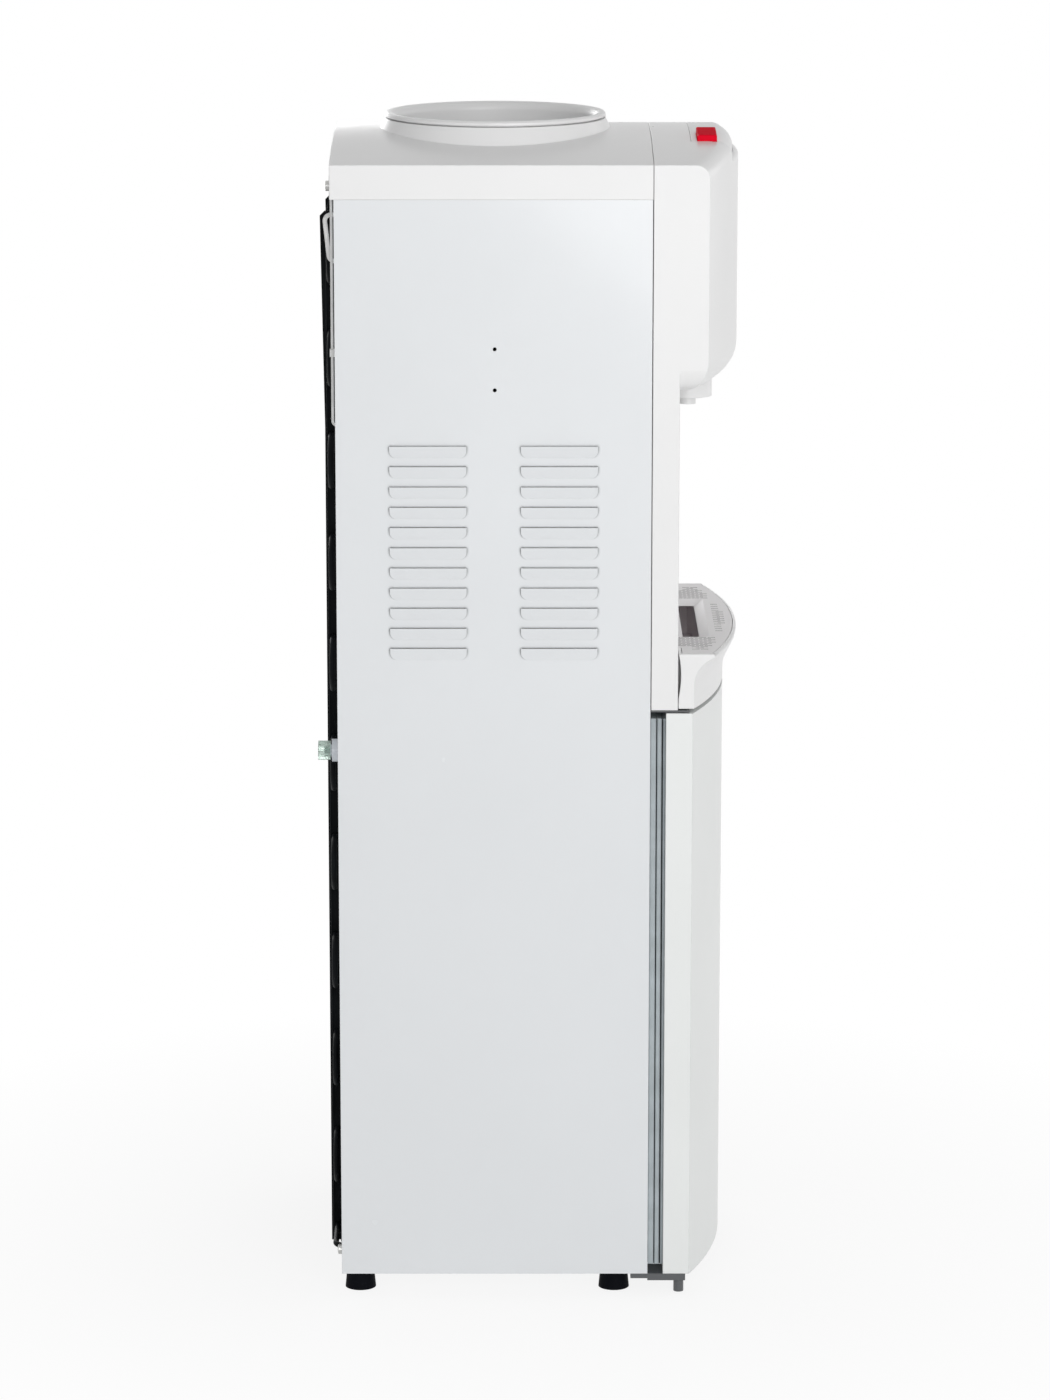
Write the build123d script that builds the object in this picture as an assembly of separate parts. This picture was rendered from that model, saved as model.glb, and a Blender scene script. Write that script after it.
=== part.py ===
from build123d import *
import os
from math import sqrt, cos, pi

# Free-standing hot and cold water cooler with a small refrigerated cabinet. Millimetres, +Z up.
# X runs across the width, the front faces -Y, and the origin is under the middle of the whole cooler.
# A depth is measured forward from the rear edge of the steel side panels, and y_at turns it into Y.

# Steel body
width = 310.0
body_depth = 258.0
body_height = 908.5
sheet = 0.8
panel_flange = 14.0
base_thickness = 1.5
base_flange = 14.0
deck_thickness = 1.5
seam = 0.7
clearance = 0.3

# Louvres of a side panel
louvre_rows = 11
louvre_pitch = 16.8
louvre_length = 63.0
louvre_height = 10.0
louvre_proud = 2.6
louvre_corner = 6.0
louvre_spread = 53.7
louvre_drop = 201.0

# Screw holes for an accessory in the left panel
holder_hole_radius = 1.6
holder_hole_spacing = 33.6
holder_hole_drop = 121.4

# Top cover and its collar
cover_wall = 2.5
cover_side_height = 28.0
cover_overhang = 3.4
crown_rise = 16.0
well_offset = 1.0
collar_base_radius = 102.0
collar_top_radius = 92.0
collar_height = 24.0
collar_foot_drop = 6.0
cover_tab_height = 9.0
cover_tab_width = 12.0
cover_tab_inset = 22.0

# Bottle seat
seat_rim_height = 4.6
seat_rim_bevel = 1.6
seat_rim_edge = 3.2
seat_seam_height = 1.0
seat_seam_depth = 2.4
seat_rim_inner_radius = 82.0
seat_lip = 6.6
seat_wall = 2.5
seat_well_gap = 3.0
seat_skirt_length = 38.0
seat_funnel_drop = 30.0
seat_throat_radius = 36.0
seat_throat_length = 18.0
probe_radius = 12.0
probe_height = 46.0
probe_bore = 8.0
probe_web = 4.0

# Front fascia
fascia_wall = 2.5
cheek_depth = 21.9
cheek_width = 22.0
alcove_depth = 26.0
head_height = 185.0
head_side_depth = 45.3
head_bow = 28.5
head_side_fillet = 18.0
head_front_fillet = 25.0
head_top_fillet = 12.0

# Control panel and buttons
panel_side = 73.0
panel_back_set = 32.3
panel_setback = 5.0
panel_lip_drop = 17.0
panel_lip_height = 12.0
panel_wall = 2.5
panel_roll = 15.0
button_side = 94.0
button_width = 38.0
button_length = 16.0
button_set = 13.0
button_proud = 4.9
button_draft = 1.2
button_skirt = 5.0
button_lip = 1.6
stem_radius = 3.5
stem_flange_radius = 8.0
stem_flange_thickness = 2.0

# Taps
tap_setback = 14.0
tap_radius = 13.0
tap_height = 62.0
spout_radius = 6.75
spout_bore = 4.5
spout_length = 23.0
spout_collar_radius = 20.0
spout_collar_height = 16.0
tap_inlet_length = 8.0
tap_inlet_rise = 30.0
tap_bore_depth = 22.0
stem_entry = 16.0
tap_front_wall = 6.0
tap_spring_length = 20.0
tap_spring_wire = 1.5

# Drip tray
tray_gap = 0.5
tray_relief = 2.0
tray_relief_height = 37.0
tray_lift = 1.3
tray_side_depth = 12.9
tray_bow = 29.0
tray_height = 46.0
tray_foot_height = 8.0
tray_rim_height = 3.0
tray_flare_steps = 10
tray_side_sweep = 4.0
tray_front_sweep = 1.25
rim_side_reach = 17.0
rim_front_reach = 11.0
rim_round = 1.8
tray_wall = 3.0
pan_wall = 2.0
pan_gap = 0.6
grille_thickness = 3.0
grille_seam = 0.6
grille_margin = 2.4
slot_length = 6.0
slot_width = 2.2
slot_pitch_x = 4.8
slot_pitch_y = 7.3
slot_border = 9.0
slot_side_border = 19.0
cup_side = 79.5
cup_length = 13.5
cup_corner = 3.0
cup_bevel = 8.0
cup_drop = 5.0
cup_wall = 1.5
cup_set = 7.0

# Door
door_height = 484.5
door_side_depth = 22.0
door_bow = 30.0
door_wall = 1.5
door_liner_wall = 2.0
door_top_gap = 2.7
gasket_thickness = 12.6
gasket_gap = 0.4
gasket_width = 14.0
gasket_inset = 8.0
gasket_end_inset = 6.0
gasket_groove = 1.8

# Hinges
hinge_inset = 8.0
hinge_set = 13.5
hinge_pin_radius = 3.0
hinge_pin_length = 14.0
hinge_running_gap = 0.05
hinge_bush_radius = 6.0
hinge_plate = 1.6
hinge_boss_radius = 4.3
hinge_plate_width = 26.0
hinge_plate_reach = 5.5
lower_plate = 4.5
lower_front_plate = 6.0
hinge_floor_gap = 1.2

# Feet
foot_height = 18.5
foot_top_radius = 11.25
foot_bottom_radius = 13.0
foot_inset = 24.0
foot_rear_depth = 15.0
foot_front_inset = 28.0
foot_stud_radius = 3.0
foot_stud_length = 9.0

# Refrigerated cabinet
cabinet_foam = 28.0
liner_wall = 1.5
liner_flange = 2.0
machine_depth = 132.0
machine_height = 190.0
shelf_wire = 2.0
shelf_cross_wire = 1.4
shelf_wires = 9
shelf_rise = 110.0
shelf_gap = 2.0
shelf_lug = 6.0
pipe_slot = 16.0
pipe_slot_depth = 22.0

# Cold side
cold_tank_radius = 78.0
cold_tank_height = 145.0
tank_wall = 0.8
evaporator_thickness = 6.0
evaporator_height = 90.0
jacket_side_gap = 47.9
jacket_rear_gap = 2.0
jacket_front_gap = 3.0
jacket_floor = 24.0
seal_width = 7.0
seal_height = 7.6

# Hot side
hot_tank_radius = 42.0
hot_tank_headroom = 45.0
hot_tank_inset = 95.0
hot_tank_setback = 10.0
hot_jacket_wall = 24.0
hot_jacket_floor = 37.0
heater_thickness = 2.0
heater_height_share = 0.55
heater_rise_share = 0.17
thermostat_radius = 8.0
thermostat_height = 9.0
thermostat_spread = 22.0

# Hoses and pipes
hose_radius = 5.0
hose_bore = 3.5
hose_bend = 7.0
hose_front_gap = 8.1
hose_level = 10.0
hose_port_spread = 20.0
hose_port_length = 12.0
hose_run_rise = 28.0
drain_port_rise = 8.0
drain_turn_depth = 35.0
nipple_length = 6.0
pipe_radius = 3.0
pipe_bend = 9.0
pipe_depth = 13.0
pipe_room = 1.3
suction_reach = 19.0
capillary_inset = 22.0
capillary_radius = 1.2
evaporator_port_x = 40.0
evaporator_port_rise = 60.0
evaporator_rise = 25.0

# Compressor
compressor_radius = 56.0
compressor_height = 140.0
compressor_depth = 68.0
compressor_dome = 22.0
compressor_seam = 2.5
compressor_seam_height = 5.0
compressor_plate = 3.0
compressor_plate_half = 62.0
compressor_plate_length = 92.0
compressor_stub_length = 10.0
discharge_rise = 60.0
suction_rise = 95.0
discharge_reach = 18.0
discharge_gap = 10.0
mount_radius = 8.0
mount_height = 13.0
mount_inset = 10.0

# Condenser behind the body
condenser_tube_radius = 2.4
condenser_wire_radius = 0.7
condenser_left_inset = 54.0
condenser_runs = 21
condenser_foot = 17.5
condenser_head = 32.0
condenser_set = 6.0
condenser_wire_pitch = 12.0
condenser_wire_margin = 14.0
weld_gap = 0.05
bracket_width = 7.0
bracket_height = 16.0
strip_thickness = 1.6
strip_inner = 2.2
strip_outer = 11.4
strip_head = 14.4
strip_bevel = 4.0
strip_lean = 180.0
drier_radius = 9.0
drier_length = 90.0
drier_depth = 30.0
drier_rise = 16.0

# Rear fittings
drain_inset = 40.0
drain_drop = 42.4
drain_nut_radius = 9.5
drain_nut_thickness = 6.2
drain_neck_radius = 5.0
drain_cap_radius = 8.0
drain_cap_length = 10.1
drain_cap_reach = 17.6
drain_cap_gap = 0.4
switch_inset = 39.0
switch_rise = 143.0
switch_half_width = 22.0
switch_half_height = 16.0
switch_body_depth = 20.0
switch_bezel = 2.5
rocker_width = 14.0
rocker_height = 22.0
rocker_thickness = 7.0
rocker_spread = 10.0
rocker_tilt = 8.0
rocker_gap = 0.6
rocker_pin_radius = 1.5
rocker_pin_length = 1.3
rocker_pivot = 1.0
rocker_pocket = 14.0
gland_radius = 8.0
gland_neck = 6.0
gland_bore = 4.0
gland_flange = 3.0
gland_length = 6.0
gland_rise = 40.0
lead_inset = 19.0
loop_inset = 27.0
lead_radius = 1.1
lead_set = 2.6
lead_bend = 4.0
lead_drop = 187.0
loop_radius = 1.8
loop_drop = 15.0
loop_height = 38.0
loop_reach = 8.6
loop_foot_reach = 4.6
loop_bend = 5.0
clip_drop = 127.0
clip_size = 6.0
screw_head_radius = 4.2
screw_head_height = 3.8
screw_shank_radius = 1.8
screw_shank_length = 6.0
screw_rise = 19.5
screw_side_inset = 7.0

# Levels and planes that follow from the sizes above
half = width / 2
inner_half = half - sheet - clearance
well_depth = body_depth / 2 + well_offset
panel_half_width = half - panel_side
button_spread = half - button_side
cup_half_width = half - cup_side
foot_front_depth = body_depth - foot_front_inset
body_bottom = foot_height
body_top = body_bottom + body_height
base_top = body_bottom + base_thickness
crease_level = body_top + cover_side_height
crown_top = crease_level + crown_rise
collar_top = crease_level + collar_height
door_bottom = body_bottom
door_top = door_bottom + door_height
fascia_bottom = door_top + door_top_gap
deck_bottom = fascia_bottom - clearance
deck_top = deck_bottom + deck_thickness
head_bottom = crease_level - head_height
fascia_back = body_depth + seam
cheek_front = fascia_back + cheek_depth
alcove_front = cheek_front - alcove_depth
alcove_back = alcove_front - fascia_wall
head_crease = fascia_back + head_side_depth
head_front = head_crease + head_bow
panel_back_depth = fascia_back + panel_back_set
button_depth = panel_back_depth + button_set
tap_depth = button_depth - tap_setback
hose_front_depth = alcove_back - hose_front_gap
tray_bottom = fascia_bottom + tray_lift
tray_top = tray_bottom + tray_height
tray_back = cheek_front + tray_gap
tray_crease = tray_back + tray_side_depth
tray_front = tray_crease + tray_bow
rim_crease = tray_crease + rim_side_reach
rim_front = tray_front + rim_front_reach
cup_front_depth = tray_crease + cup_set
door_back = body_depth + gasket_gap + gasket_thickness
door_crease = door_back + door_side_depth
door_front = door_crease + door_bow
front_plane = body_depth - sheet
hinge_x = -half + hinge_inset
hinge_depth = door_back + hinge_set
hinge_plate_front = hinge_depth + hinge_plate_reach
machine_top = base_top + machine_height
seat_rim_bottom = collar_top + clearance
seat_rim_top = seat_rim_bottom + seat_rim_height
seat_skirt_radius = seat_rim_inner_radius + seat_wall
seat_skirt_bottom = seat_rim_bottom - seat_skirt_length
seat_funnel_bottom = seat_skirt_bottom - seat_funnel_drop
seat_throat_outer = seat_throat_radius + seat_wall
cold_tank_top = seat_funnel_bottom - seal_height - clearance
cold_tank_bottom = cold_tank_top - cold_tank_height
shelf_top = cold_tank_bottom - jacket_floor
shelf_bottom = shelf_top - deck_thickness
hot_tank_bottom = deck_top + hot_jacket_floor
hot_tank_top = shelf_bottom - hot_tank_headroom
hot_tank_x = -half + hot_tank_inset
hot_tank_depth = well_depth - hot_tank_setback
jacket_half_width = inner_half - jacket_side_gap
jacket_back = pipe_slot_depth + jacket_rear_gap
jacket_front = hose_front_depth - hose_radius - jacket_front_gap
panel_lip = crown_top - panel_lip_drop
tap_bottom = head_bottom + fascia_wall + clearance
tap_top = tap_bottom + tap_height
louvre_top = body_top - louvre_drop
holder_hole_top = body_top - holder_hole_drop
drain_height = deck_bottom - drain_drop
switch_height = deck_top + switch_rise
gland_height = deck_top + gland_rise
lead_foot = body_top - lead_drop
loop_top = body_top - loop_drop
loop_bottom = loop_top - loop_height
clip_height = body_top - clip_drop
flange_top = deck_bottom - hinge_plate - clearance
screw_level = body_bottom + screw_rise
foot_stud_top = foot_height + foot_stud_length
hinge_plate_back = foot_front_depth + foot_bottom_radius + seam
compressor_bottom = base_top + mount_height
evaporator_radius = cold_tank_radius + evaporator_thickness + clearance
hot_jacket_bore = hot_tank_radius + heater_thickness + 2 * clearance
compressor_stub_end = compressor_radius + compressor_stub_length
suction_x = compressor_stub_end + suction_reach
discharge_x = compressor_stub_end + discharge_reach
capillary_x = -half + capillary_inset
drain_x = -half + drain_inset
switch_x = half - switch_inset
lead_x = -half + lead_inset
loop_x = -half + loop_inset
condenser_left = -half + condenser_left_inset
condenser_right = discharge_x - discharge_gap
condenser_bottom = body_bottom + condenser_foot
condenser_top = body_top - condenser_head
condenser_pitch = (condenser_top - condenser_bottom) / (condenser_runs - 1)
run_left = condenser_left + condenser_pitch / 2
run_right = condenser_right - condenser_pitch / 2
rear_y = (rim_front - drain_cap_reach) / 2


def y_at(depth):
    """Y of a point this far forward of the rear edge of the steel body."""
    return rear_y - depth


def block(x0, x1, depth0, depth1, z0, z1):
    """Box between two widths, two depths and two levels."""
    middle = Pos((x0 + x1) / 2, y_at((depth0 + depth1) / 2), (z0 + z1) / 2)
    return middle * Box(x1 - x0, depth1 - depth0, z1 - z0)


def post(x, depth, z0, z1, radius):
    """Upright round bar between two levels."""
    return Pos(x, y_at(depth), (z0 + z1) / 2) * Cylinder(radius, z1 - z0)


def collar(x, depth, z0, z1, outer, inner):
    """Upright ring between two levels."""
    return post(x, depth, z0, z1, outer) - post(x, depth, z0, z1, inner)


def cone(x, depth, z0, z1, lower, upper):
    """Upright cone between two levels."""
    return Pos(x, y_at(depth), (z0 + z1) / 2) * Cone(lower, upper, z1 - z0)


def rail(x0, x1, depth, z, radius):
    """Round bar along the width."""
    return Pos((x0 + x1) / 2, y_at(depth), z) * Rot(0, 90, 0) * Cylinder(radius, x1 - x0)


def stub(x, depth0, depth1, z, radius):
    """Round bar along the depth."""
    return Pos(x, y_at((depth0 + depth1) / 2), z) * Rot(90, 0, 0) * Cylinder(radius, depth1 - depth0)


def bent_tube(points, radius, bend, bore=0.0):
    """Tube through points of width, depth and level, with one bend radius at each corner."""
    path = FilletPolyline(*[(x, y_at(depth), z) for x, depth, z in points], radius=bend)
    start = Plane(origin=path @ 0, z_dir=path % 0)
    section = Circle(radius)
    if bore > 0:
        section -= Circle(bore)
    return sweep(start * section, path=path)


def bow_depth(span, crease, front, x):
    """Depth of a bowed front at one width: an arc from the creases at +-span through the front."""
    rise = front - crease
    radius = (span ** 2 + rise ** 2) / (2 * rise)
    return front - radius + sqrt(radius ** 2 - x ** 2)


def bowed_face(span, back, crease, front):
    """Plan outline with straight sides and a bowed front."""
    sides = Polyline(
        (-span, y_at(crease)), (-span, y_at(back)), (span, y_at(back)), (span, y_at(crease))
    )
    bow = ThreePointArc((span, y_at(crease)), (0, y_at(front)), (-span, y_at(crease)))
    return make_face(sides + bow)


def bowed_prism(span, back, crease, front, z0, z1):
    """Upright prism on a bowed plan."""
    return extrude(Pos(0, 0, z0) * bowed_face(span, back, crease, front), z1 - z0, dir=(0, 0, 1))


def crown_level(x):
    """Level of the crowned top at one width."""
    radius = (half ** 2 + crown_rise ** 2) / (2 * crown_rise)
    return crown_top - radius + sqrt(radius ** 2 - x ** 2)


def crowned_prism(inset, back, front, z0, corner=0.0):
    """Prism along the depth, with the crowned top lowered by the inset and round lower corners."""
    span = half - inset
    low = z0 + inset
    eave = crown_level(span) - inset
    sides = Polyline((-span, eave), (-span, low), (span, low), (span, eave))
    crown = ThreePointArc((span, eave), (0, crown_top - inset), (-span, eave))
    face = make_face(sides + crown)
    if corner > inset:
        face = fillet(face.vertices().sort_by(Axis.Y)[:2], corner - inset)
    upright = Plane(origin=(0, y_at(front), 0), x_dir=(1, 0, 0), z_dir=(0, -1, 0))
    return extrude(upright * face, front - back, dir=(0, 1, 0))


def group(solids):
    """Several separate solids of one kind as one piece."""
    return Compound([solid for part in solids for solid in part.solids()])


# Steel body


def louvre(side, inset):
    """Hood of one louvre on a side panel, shrunk by the inset, with its slot along the upper edge."""
    foot = side * (half - (2 * sheet if inset else sheet / 2))
    tip = side * (half + louvre_proud - inset)
    low = -louvre_height + inset
    wedge = make_face(Polyline((foot, 0), (tip, 0), (side * half, low), (foot, low), close=True))
    upright = Plane(origin=(0, 0, 0), x_dir=(1, 0, 0), z_dir=(0, -1, 0))
    reach = louvre_length / 2 - inset
    hood = extrude(upright * wedge, reach, both=True)
    outline = Pos(0, low / 2) * Rectangle(2 * reach, -low)
    outline = fillet(outline.vertices().sort_by(Axis.Y)[:2], louvre_corner - inset)
    across = Plane(origin=(0, 0, 0), x_dir=(0, 1, 0), z_dir=(1, 0, 0))
    return hood & extrude(across * outline, width, both=True)


def louvre_places():
    """Places of a side panel's louvres: two columns about its middle."""
    columns = [body_depth / 2 - louvre_spread, body_depth / 2 + louvre_spread]
    return [
        Pos(0, y_at(depth), louvre_top - row * louvre_pitch)
        for depth in columns
        for row in range(louvre_rows)
    ]


def side_panel(side):
    """Steel side with turned-in front and rear flanges and its louvres."""
    outer = sorted((side * half, side * (half - sheet)))
    lip = sorted((side * half, side * (half - panel_flange)))
    panel = block(*outer, 0, body_depth, body_bottom, body_top)
    panel += block(*lip, 0, sheet, body_bottom, body_top)
    panel += block(*lip, front_plane, body_depth, body_bottom, flange_top)
    panel -= stub(side * (half - screw_side_inset), 0, sheet, screw_level, screw_shank_radius + weld_gap)
    panel += [place * louvre(side, 0) for place in louvre_places()]
    panel -= [place * louvre(side, sheet) for place in louvre_places()]
    return panel


def left_side_panel():
    """The left panel also has two screw holes, one above the other."""
    panel = side_panel(-1)
    for level in (holder_hole_top, holder_hole_top - holder_hole_spacing):
        panel -= rail(-half - sheet, -half + 2 * sheet, well_depth, level, holder_hole_radius)
    return panel


def foot_places():
    """Width and depth of each foot."""
    across = half - foot_inset
    return [(x, depth) for x in (-across, across) for depth in (foot_rear_depth, foot_front_depth)]


def base_plate():
    """Steel tray that closes the body's bottom, with upturned sides."""
    low = sheet + clearance
    plate = block(-inner_half, inner_half, low, front_plane - clearance, body_bottom, base_top)
    for side in (-1, 1):
        edge = sorted((side * inner_half, side * (inner_half - base_thickness)))
        plate += block(*edge, low, front_plane - clearance, body_bottom, base_top + base_flange)
    for x, depth in foot_places():
        plate -= post(x, depth, body_bottom, base_top, foot_stud_radius + clearance)
    return plate


def pipe_bores(z0, z1):
    """Room for the pipes that climb behind the cabinet."""
    radii = [(evaporator_port_x, pipe_radius), (capillary_x, capillary_radius), (drain_x, hose_radius)]
    return [post(x, pipe_depth, z0, z1, radius + pipe_room) for x, radius in radii]


def machine_bulkhead():
    """Folded sheet between the machine space and the cabinet's insulation."""
    wall = block(-inner_half, inner_half, machine_depth, machine_depth + sheet, base_top, machine_top)
    roof_bottom = machine_top - sheet
    wall += block(-inner_half, inner_half, sheet + clearance, machine_depth, roof_bottom, machine_top)
    side = inner_half - base_thickness - clearance
    trim = base_top + base_flange + clearance
    for edge in (-1, 1):
        corner = sorted((edge * inner_half, edge * side))
        wall -= block(*corner, machine_depth, machine_depth + sheet, base_top, trim)
    return wall - pipe_bores(roof_bottom, machine_top)[:2]


def rear_panel():
    """Upper rear sheet between the side panels' flanges, with holes for the rear fittings."""
    edge = half - panel_flange - clearance
    panel = block(-edge, edge, 0, sheet, machine_top, body_top - clearance)
    panel -= stub(drain_x, -sheet, 2 * sheet, drain_height, drain_neck_radius + clearance)
    panel -= stub(switch_x, -sheet, 2 * sheet, gland_height, gland_neck + clearance)
    panel -= stub(lead_x, -sheet, 2 * sheet, lead_foot, lead_radius + clearance)
    for level in (loop_top, loop_bottom):
        panel -= stub(loop_x, -sheet, 2 * sheet, level, loop_radius + clearance)
    window = switch_half_width - switch_bezel + clearance
    sill = switch_half_height - switch_bezel + clearance
    window_box = (switch_x - window, switch_x + window, -sheet, 2 * sheet)
    return panel - block(*window_box, switch_height - sill, switch_height + sill)


def tank_deck():
    """Steel floor of the tank space."""
    back = sheet + clearance
    front = alcove_back - clearance
    deck = block(-inner_half, inner_half, back, front, deck_bottom, deck_top)
    return deck - pipe_bores(deck_bottom, deck_top)


def tank_shelf():
    """Steel shelf under the cold tank's jacket, turned down along both sides."""
    back = pipe_slot_depth + clearance
    front = hose_front_depth - hose_radius - 2 * clearance
    shelf = block(-inner_half, inner_half, back, front, shelf_bottom, shelf_top)
    for side in (-1, 1):
        edge = sorted((side * inner_half, side * (inner_half - deck_thickness)))
        shelf += block(*edge, back, front, shelf_bottom - base_flange, shelf_top)
    return shelf - post(0, well_depth, shelf_bottom, shelf_top, hose_radius + clearance)


def top_cover():
    """Moulded cover with a crowned top and a collar round the bottle well."""
    low = body_top + weld_gap
    back = -cover_overhang
    front = body_depth + clearance
    shell = crowned_prism(0, back, front, low)
    foot = crown_level(collar_base_radius) - collar_foot_drop
    shell += cone(0, well_depth, foot, collar_top, collar_base_radius, collar_top_radius)
    hollow = crowned_prism(cover_wall, back + cover_wall, front - cover_wall, low - 2 * cover_wall)
    inner_base = collar_base_radius - cover_wall
    inner_top = collar_top_radius - cover_wall
    hollow += cone(0, well_depth, foot - cover_wall, collar_top - cover_wall, inner_base, inner_top)
    well = post(0, well_depth, low, collar_top + crown_rise, seat_skirt_radius + seat_well_gap)
    shell = shell - hollow - well
    hole = screw_shank_radius + weld_gap
    for side in (-1, 1):
        tab_x = side * (half - cover_tab_inset)
        sides = (tab_x - cover_tab_width / 2, tab_x + cover_tab_width / 2)
        shell += block(*sides, back - sheet, back, low, low + 2 * cover_tab_height)
        shell -= stub(tab_x, back - sheet, cover_wall, low + cover_tab_height, hole)
    return shell


# Bottle seat


def bottle_seat():
    """Lift-out rim, skirt, funnel and throat in one moulding."""
    lower = seat_skirt_bottom + seat_wall
    crest = seat_rim_inner_radius + seat_lip
    lip_bottom = seat_rim_top - seat_lip
    outline = Polyline(
        (crest, seat_rim_top),
        (collar_top_radius - seat_rim_bevel, seat_rim_top),
        (collar_top_radius, seat_rim_bottom + seat_rim_edge),
        (collar_top_radius, seat_rim_bottom + seat_seam_height),
        (collar_top_radius - seat_seam_depth, seat_rim_bottom + seat_seam_height),
        (collar_top_radius - seat_seam_depth, seat_rim_bottom),
        (seat_skirt_radius, seat_rim_bottom),
        (seat_skirt_radius, seat_skirt_bottom),
        (seat_throat_outer, seat_funnel_bottom),
        (seat_throat_outer, seat_funnel_bottom - seat_throat_length),
        (seat_throat_radius, seat_funnel_bottom - seat_throat_length),
        (seat_throat_radius, seat_funnel_bottom + seat_wall),
        (seat_rim_inner_radius, lower),
        (seat_rim_inner_radius, lip_bottom),
    )
    bulge = seat_lip * sqrt(1 / 2)
    lip = ThreePointArc(outline @ 1, (crest - bulge, lip_bottom + bulge), outline @ 0)
    seat = revolve(Plane.XZ * make_face(outline + lip), axis=Axis.Z)
    return Pos(0, y_at(well_depth), 0) * seat


def bottle_probe():
    """Hollow spike that opens a bottle's cap, on a cross that drops into the throat."""
    low = seat_funnel_bottom - seat_throat_length
    tip = seat_funnel_bottom + probe_height
    spike = post(0, well_depth, low, tip - probe_radius, probe_radius)
    spike += cone(0, well_depth, tip - probe_radius, tip, probe_radius, probe_bore / 2)
    reach = seat_throat_radius - clearance
    arm = probe_web / 2
    spike += block(-reach, reach, well_depth - arm, well_depth + arm, low, low + probe_web)
    spike += block(-arm, arm, well_depth - reach, well_depth + reach, low, low + probe_web)
    spike &= post(0, well_depth, low, tip, reach)
    spike -= post(0, well_depth, low, tip - probe_radius - probe_web, probe_bore)
    port = tip - 2 * probe_radius
    spike -= rail(-probe_radius, probe_radius, well_depth, port, probe_web)
    return spike


def seat_seal():
    """Soft ring between the cold tank and the seat's throat."""
    bore = seat_throat_outer + clearance
    return collar(0, well_depth, cold_tank_top, cold_tank_top + seal_height, bore + seal_width, bore)


# Front fascia, control panel and buttons


def head_shape(inset, setback, roll):
    """Body of the head: bowed front, crowned top and round lower edges, shrunk by the inset."""
    back = fascia_back - inset
    crease = head_crease - inset - setback
    front = head_front - inset - setback
    low = head_bottom + inset
    body = bowed_prism(half - inset, back, crease, front, low, crown_top)
    lower_front = body.edges().sort_by_distance((0, y_at(front), low))[0]
    body = fillet(lower_front, head_front_fillet - inset)
    body &= crowned_prism(inset, back, front, head_bottom, head_side_fillet)
    upper_front = body.edges().sort_by_distance((0, y_at(front), crown_top - inset))[0]
    return fillet(upper_front, roll - inset)


def front_lip(opening, low):
    """Thickened upper edge of the head's front, in front of the control panel."""
    seat = panel_setback - clearance
    lip = bowed_prism(half, fascia_back, head_crease, head_front, low, panel_lip)
    lip -= bowed_prism(half, 0, head_crease - seat, head_front - seat, low, panel_lip)
    lip &= block(-opening, opening, panel_back_depth, head_front, low, panel_lip)
    edge = lip.edges().sort_by_distance((0, y_at(head_front), panel_lip))[0]
    return fillet(edge, seat - clearance)


def front_fascia():
    """Head, cheeks and alcove wall in one moulding, open behind."""
    alcove_half = half - cheek_width
    shell = head_shape(0, 0, head_top_fillet) - head_shape(fascia_wall, 0, head_top_fillet)
    neck = head_bottom + head_side_fillet + fascia_wall
    for side in (-1, 1):
        outer = sorted((side * half, side * (half - fascia_wall)))
        front = sorted((side * half, side * alcove_half))
        inner = sorted((side * alcove_half, side * (alcove_half + fascia_wall)))
        shell += block(*outer, fascia_back, cheek_front, fascia_bottom, neck)
        shell += block(*front, cheek_front - fascia_wall, cheek_front, fascia_bottom, neck)
        shell += block(*inner, alcove_back, cheek_front, fascia_bottom, neck)
        shell += block(*front, fascia_back, cheek_front, fascia_bottom, fascia_bottom + fascia_wall)
    roof = head_bottom + fascia_wall
    floor = fascia_bottom + fascia_wall
    shell += block(-alcove_half, alcove_half, alcove_back, alcove_front, fascia_bottom, roof)
    shell += block(-alcove_half, alcove_half, alcove_back, fascia_back + fascia_wall, head_bottom, roof)
    shell += block(-alcove_half, alcove_half, alcove_back, cheek_front, fascia_bottom, floor)
    opening = panel_half_width + clearance
    low = panel_lip - panel_lip_height
    shell -= block(-opening, opening, panel_back_depth - clearance, head_front, low, crown_top)
    shell += front_lip(opening, low)
    for x in (-button_spread, button_spread):
        shell -= post(x, tap_depth, head_bottom, tap_bottom, spout_radius + clearance)
    return shell


def button_box(side, margin):
    """Width and depth limits of a button, with a margin all round."""
    x = side * button_spread
    wide = button_width / 2 + margin
    long = button_length / 2 + margin
    return x - wide, x + wide, button_depth - long, button_depth + long


def control_panel():
    """Panel let into the head's top, with an opening for each button."""
    low = panel_lip - panel_wall - button_skirt
    panel = head_shape(0, panel_setback, panel_roll) - head_shape(panel_wall, panel_setback, panel_roll)
    panel &= block(-panel_half_width, panel_half_width, panel_back_depth, head_front, low, crown_top)
    back = (panel_back_depth, panel_back_depth + panel_wall)
    wall = block(-panel_half_width, panel_half_width, *back, low, crown_top)
    panel += wall & crowned_prism(0, fascia_back, head_front, head_bottom)
    for side in (-1, 1):
        panel -= block(*button_box(side, clearance), panel_lip, crown_top)
    return panel


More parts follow.
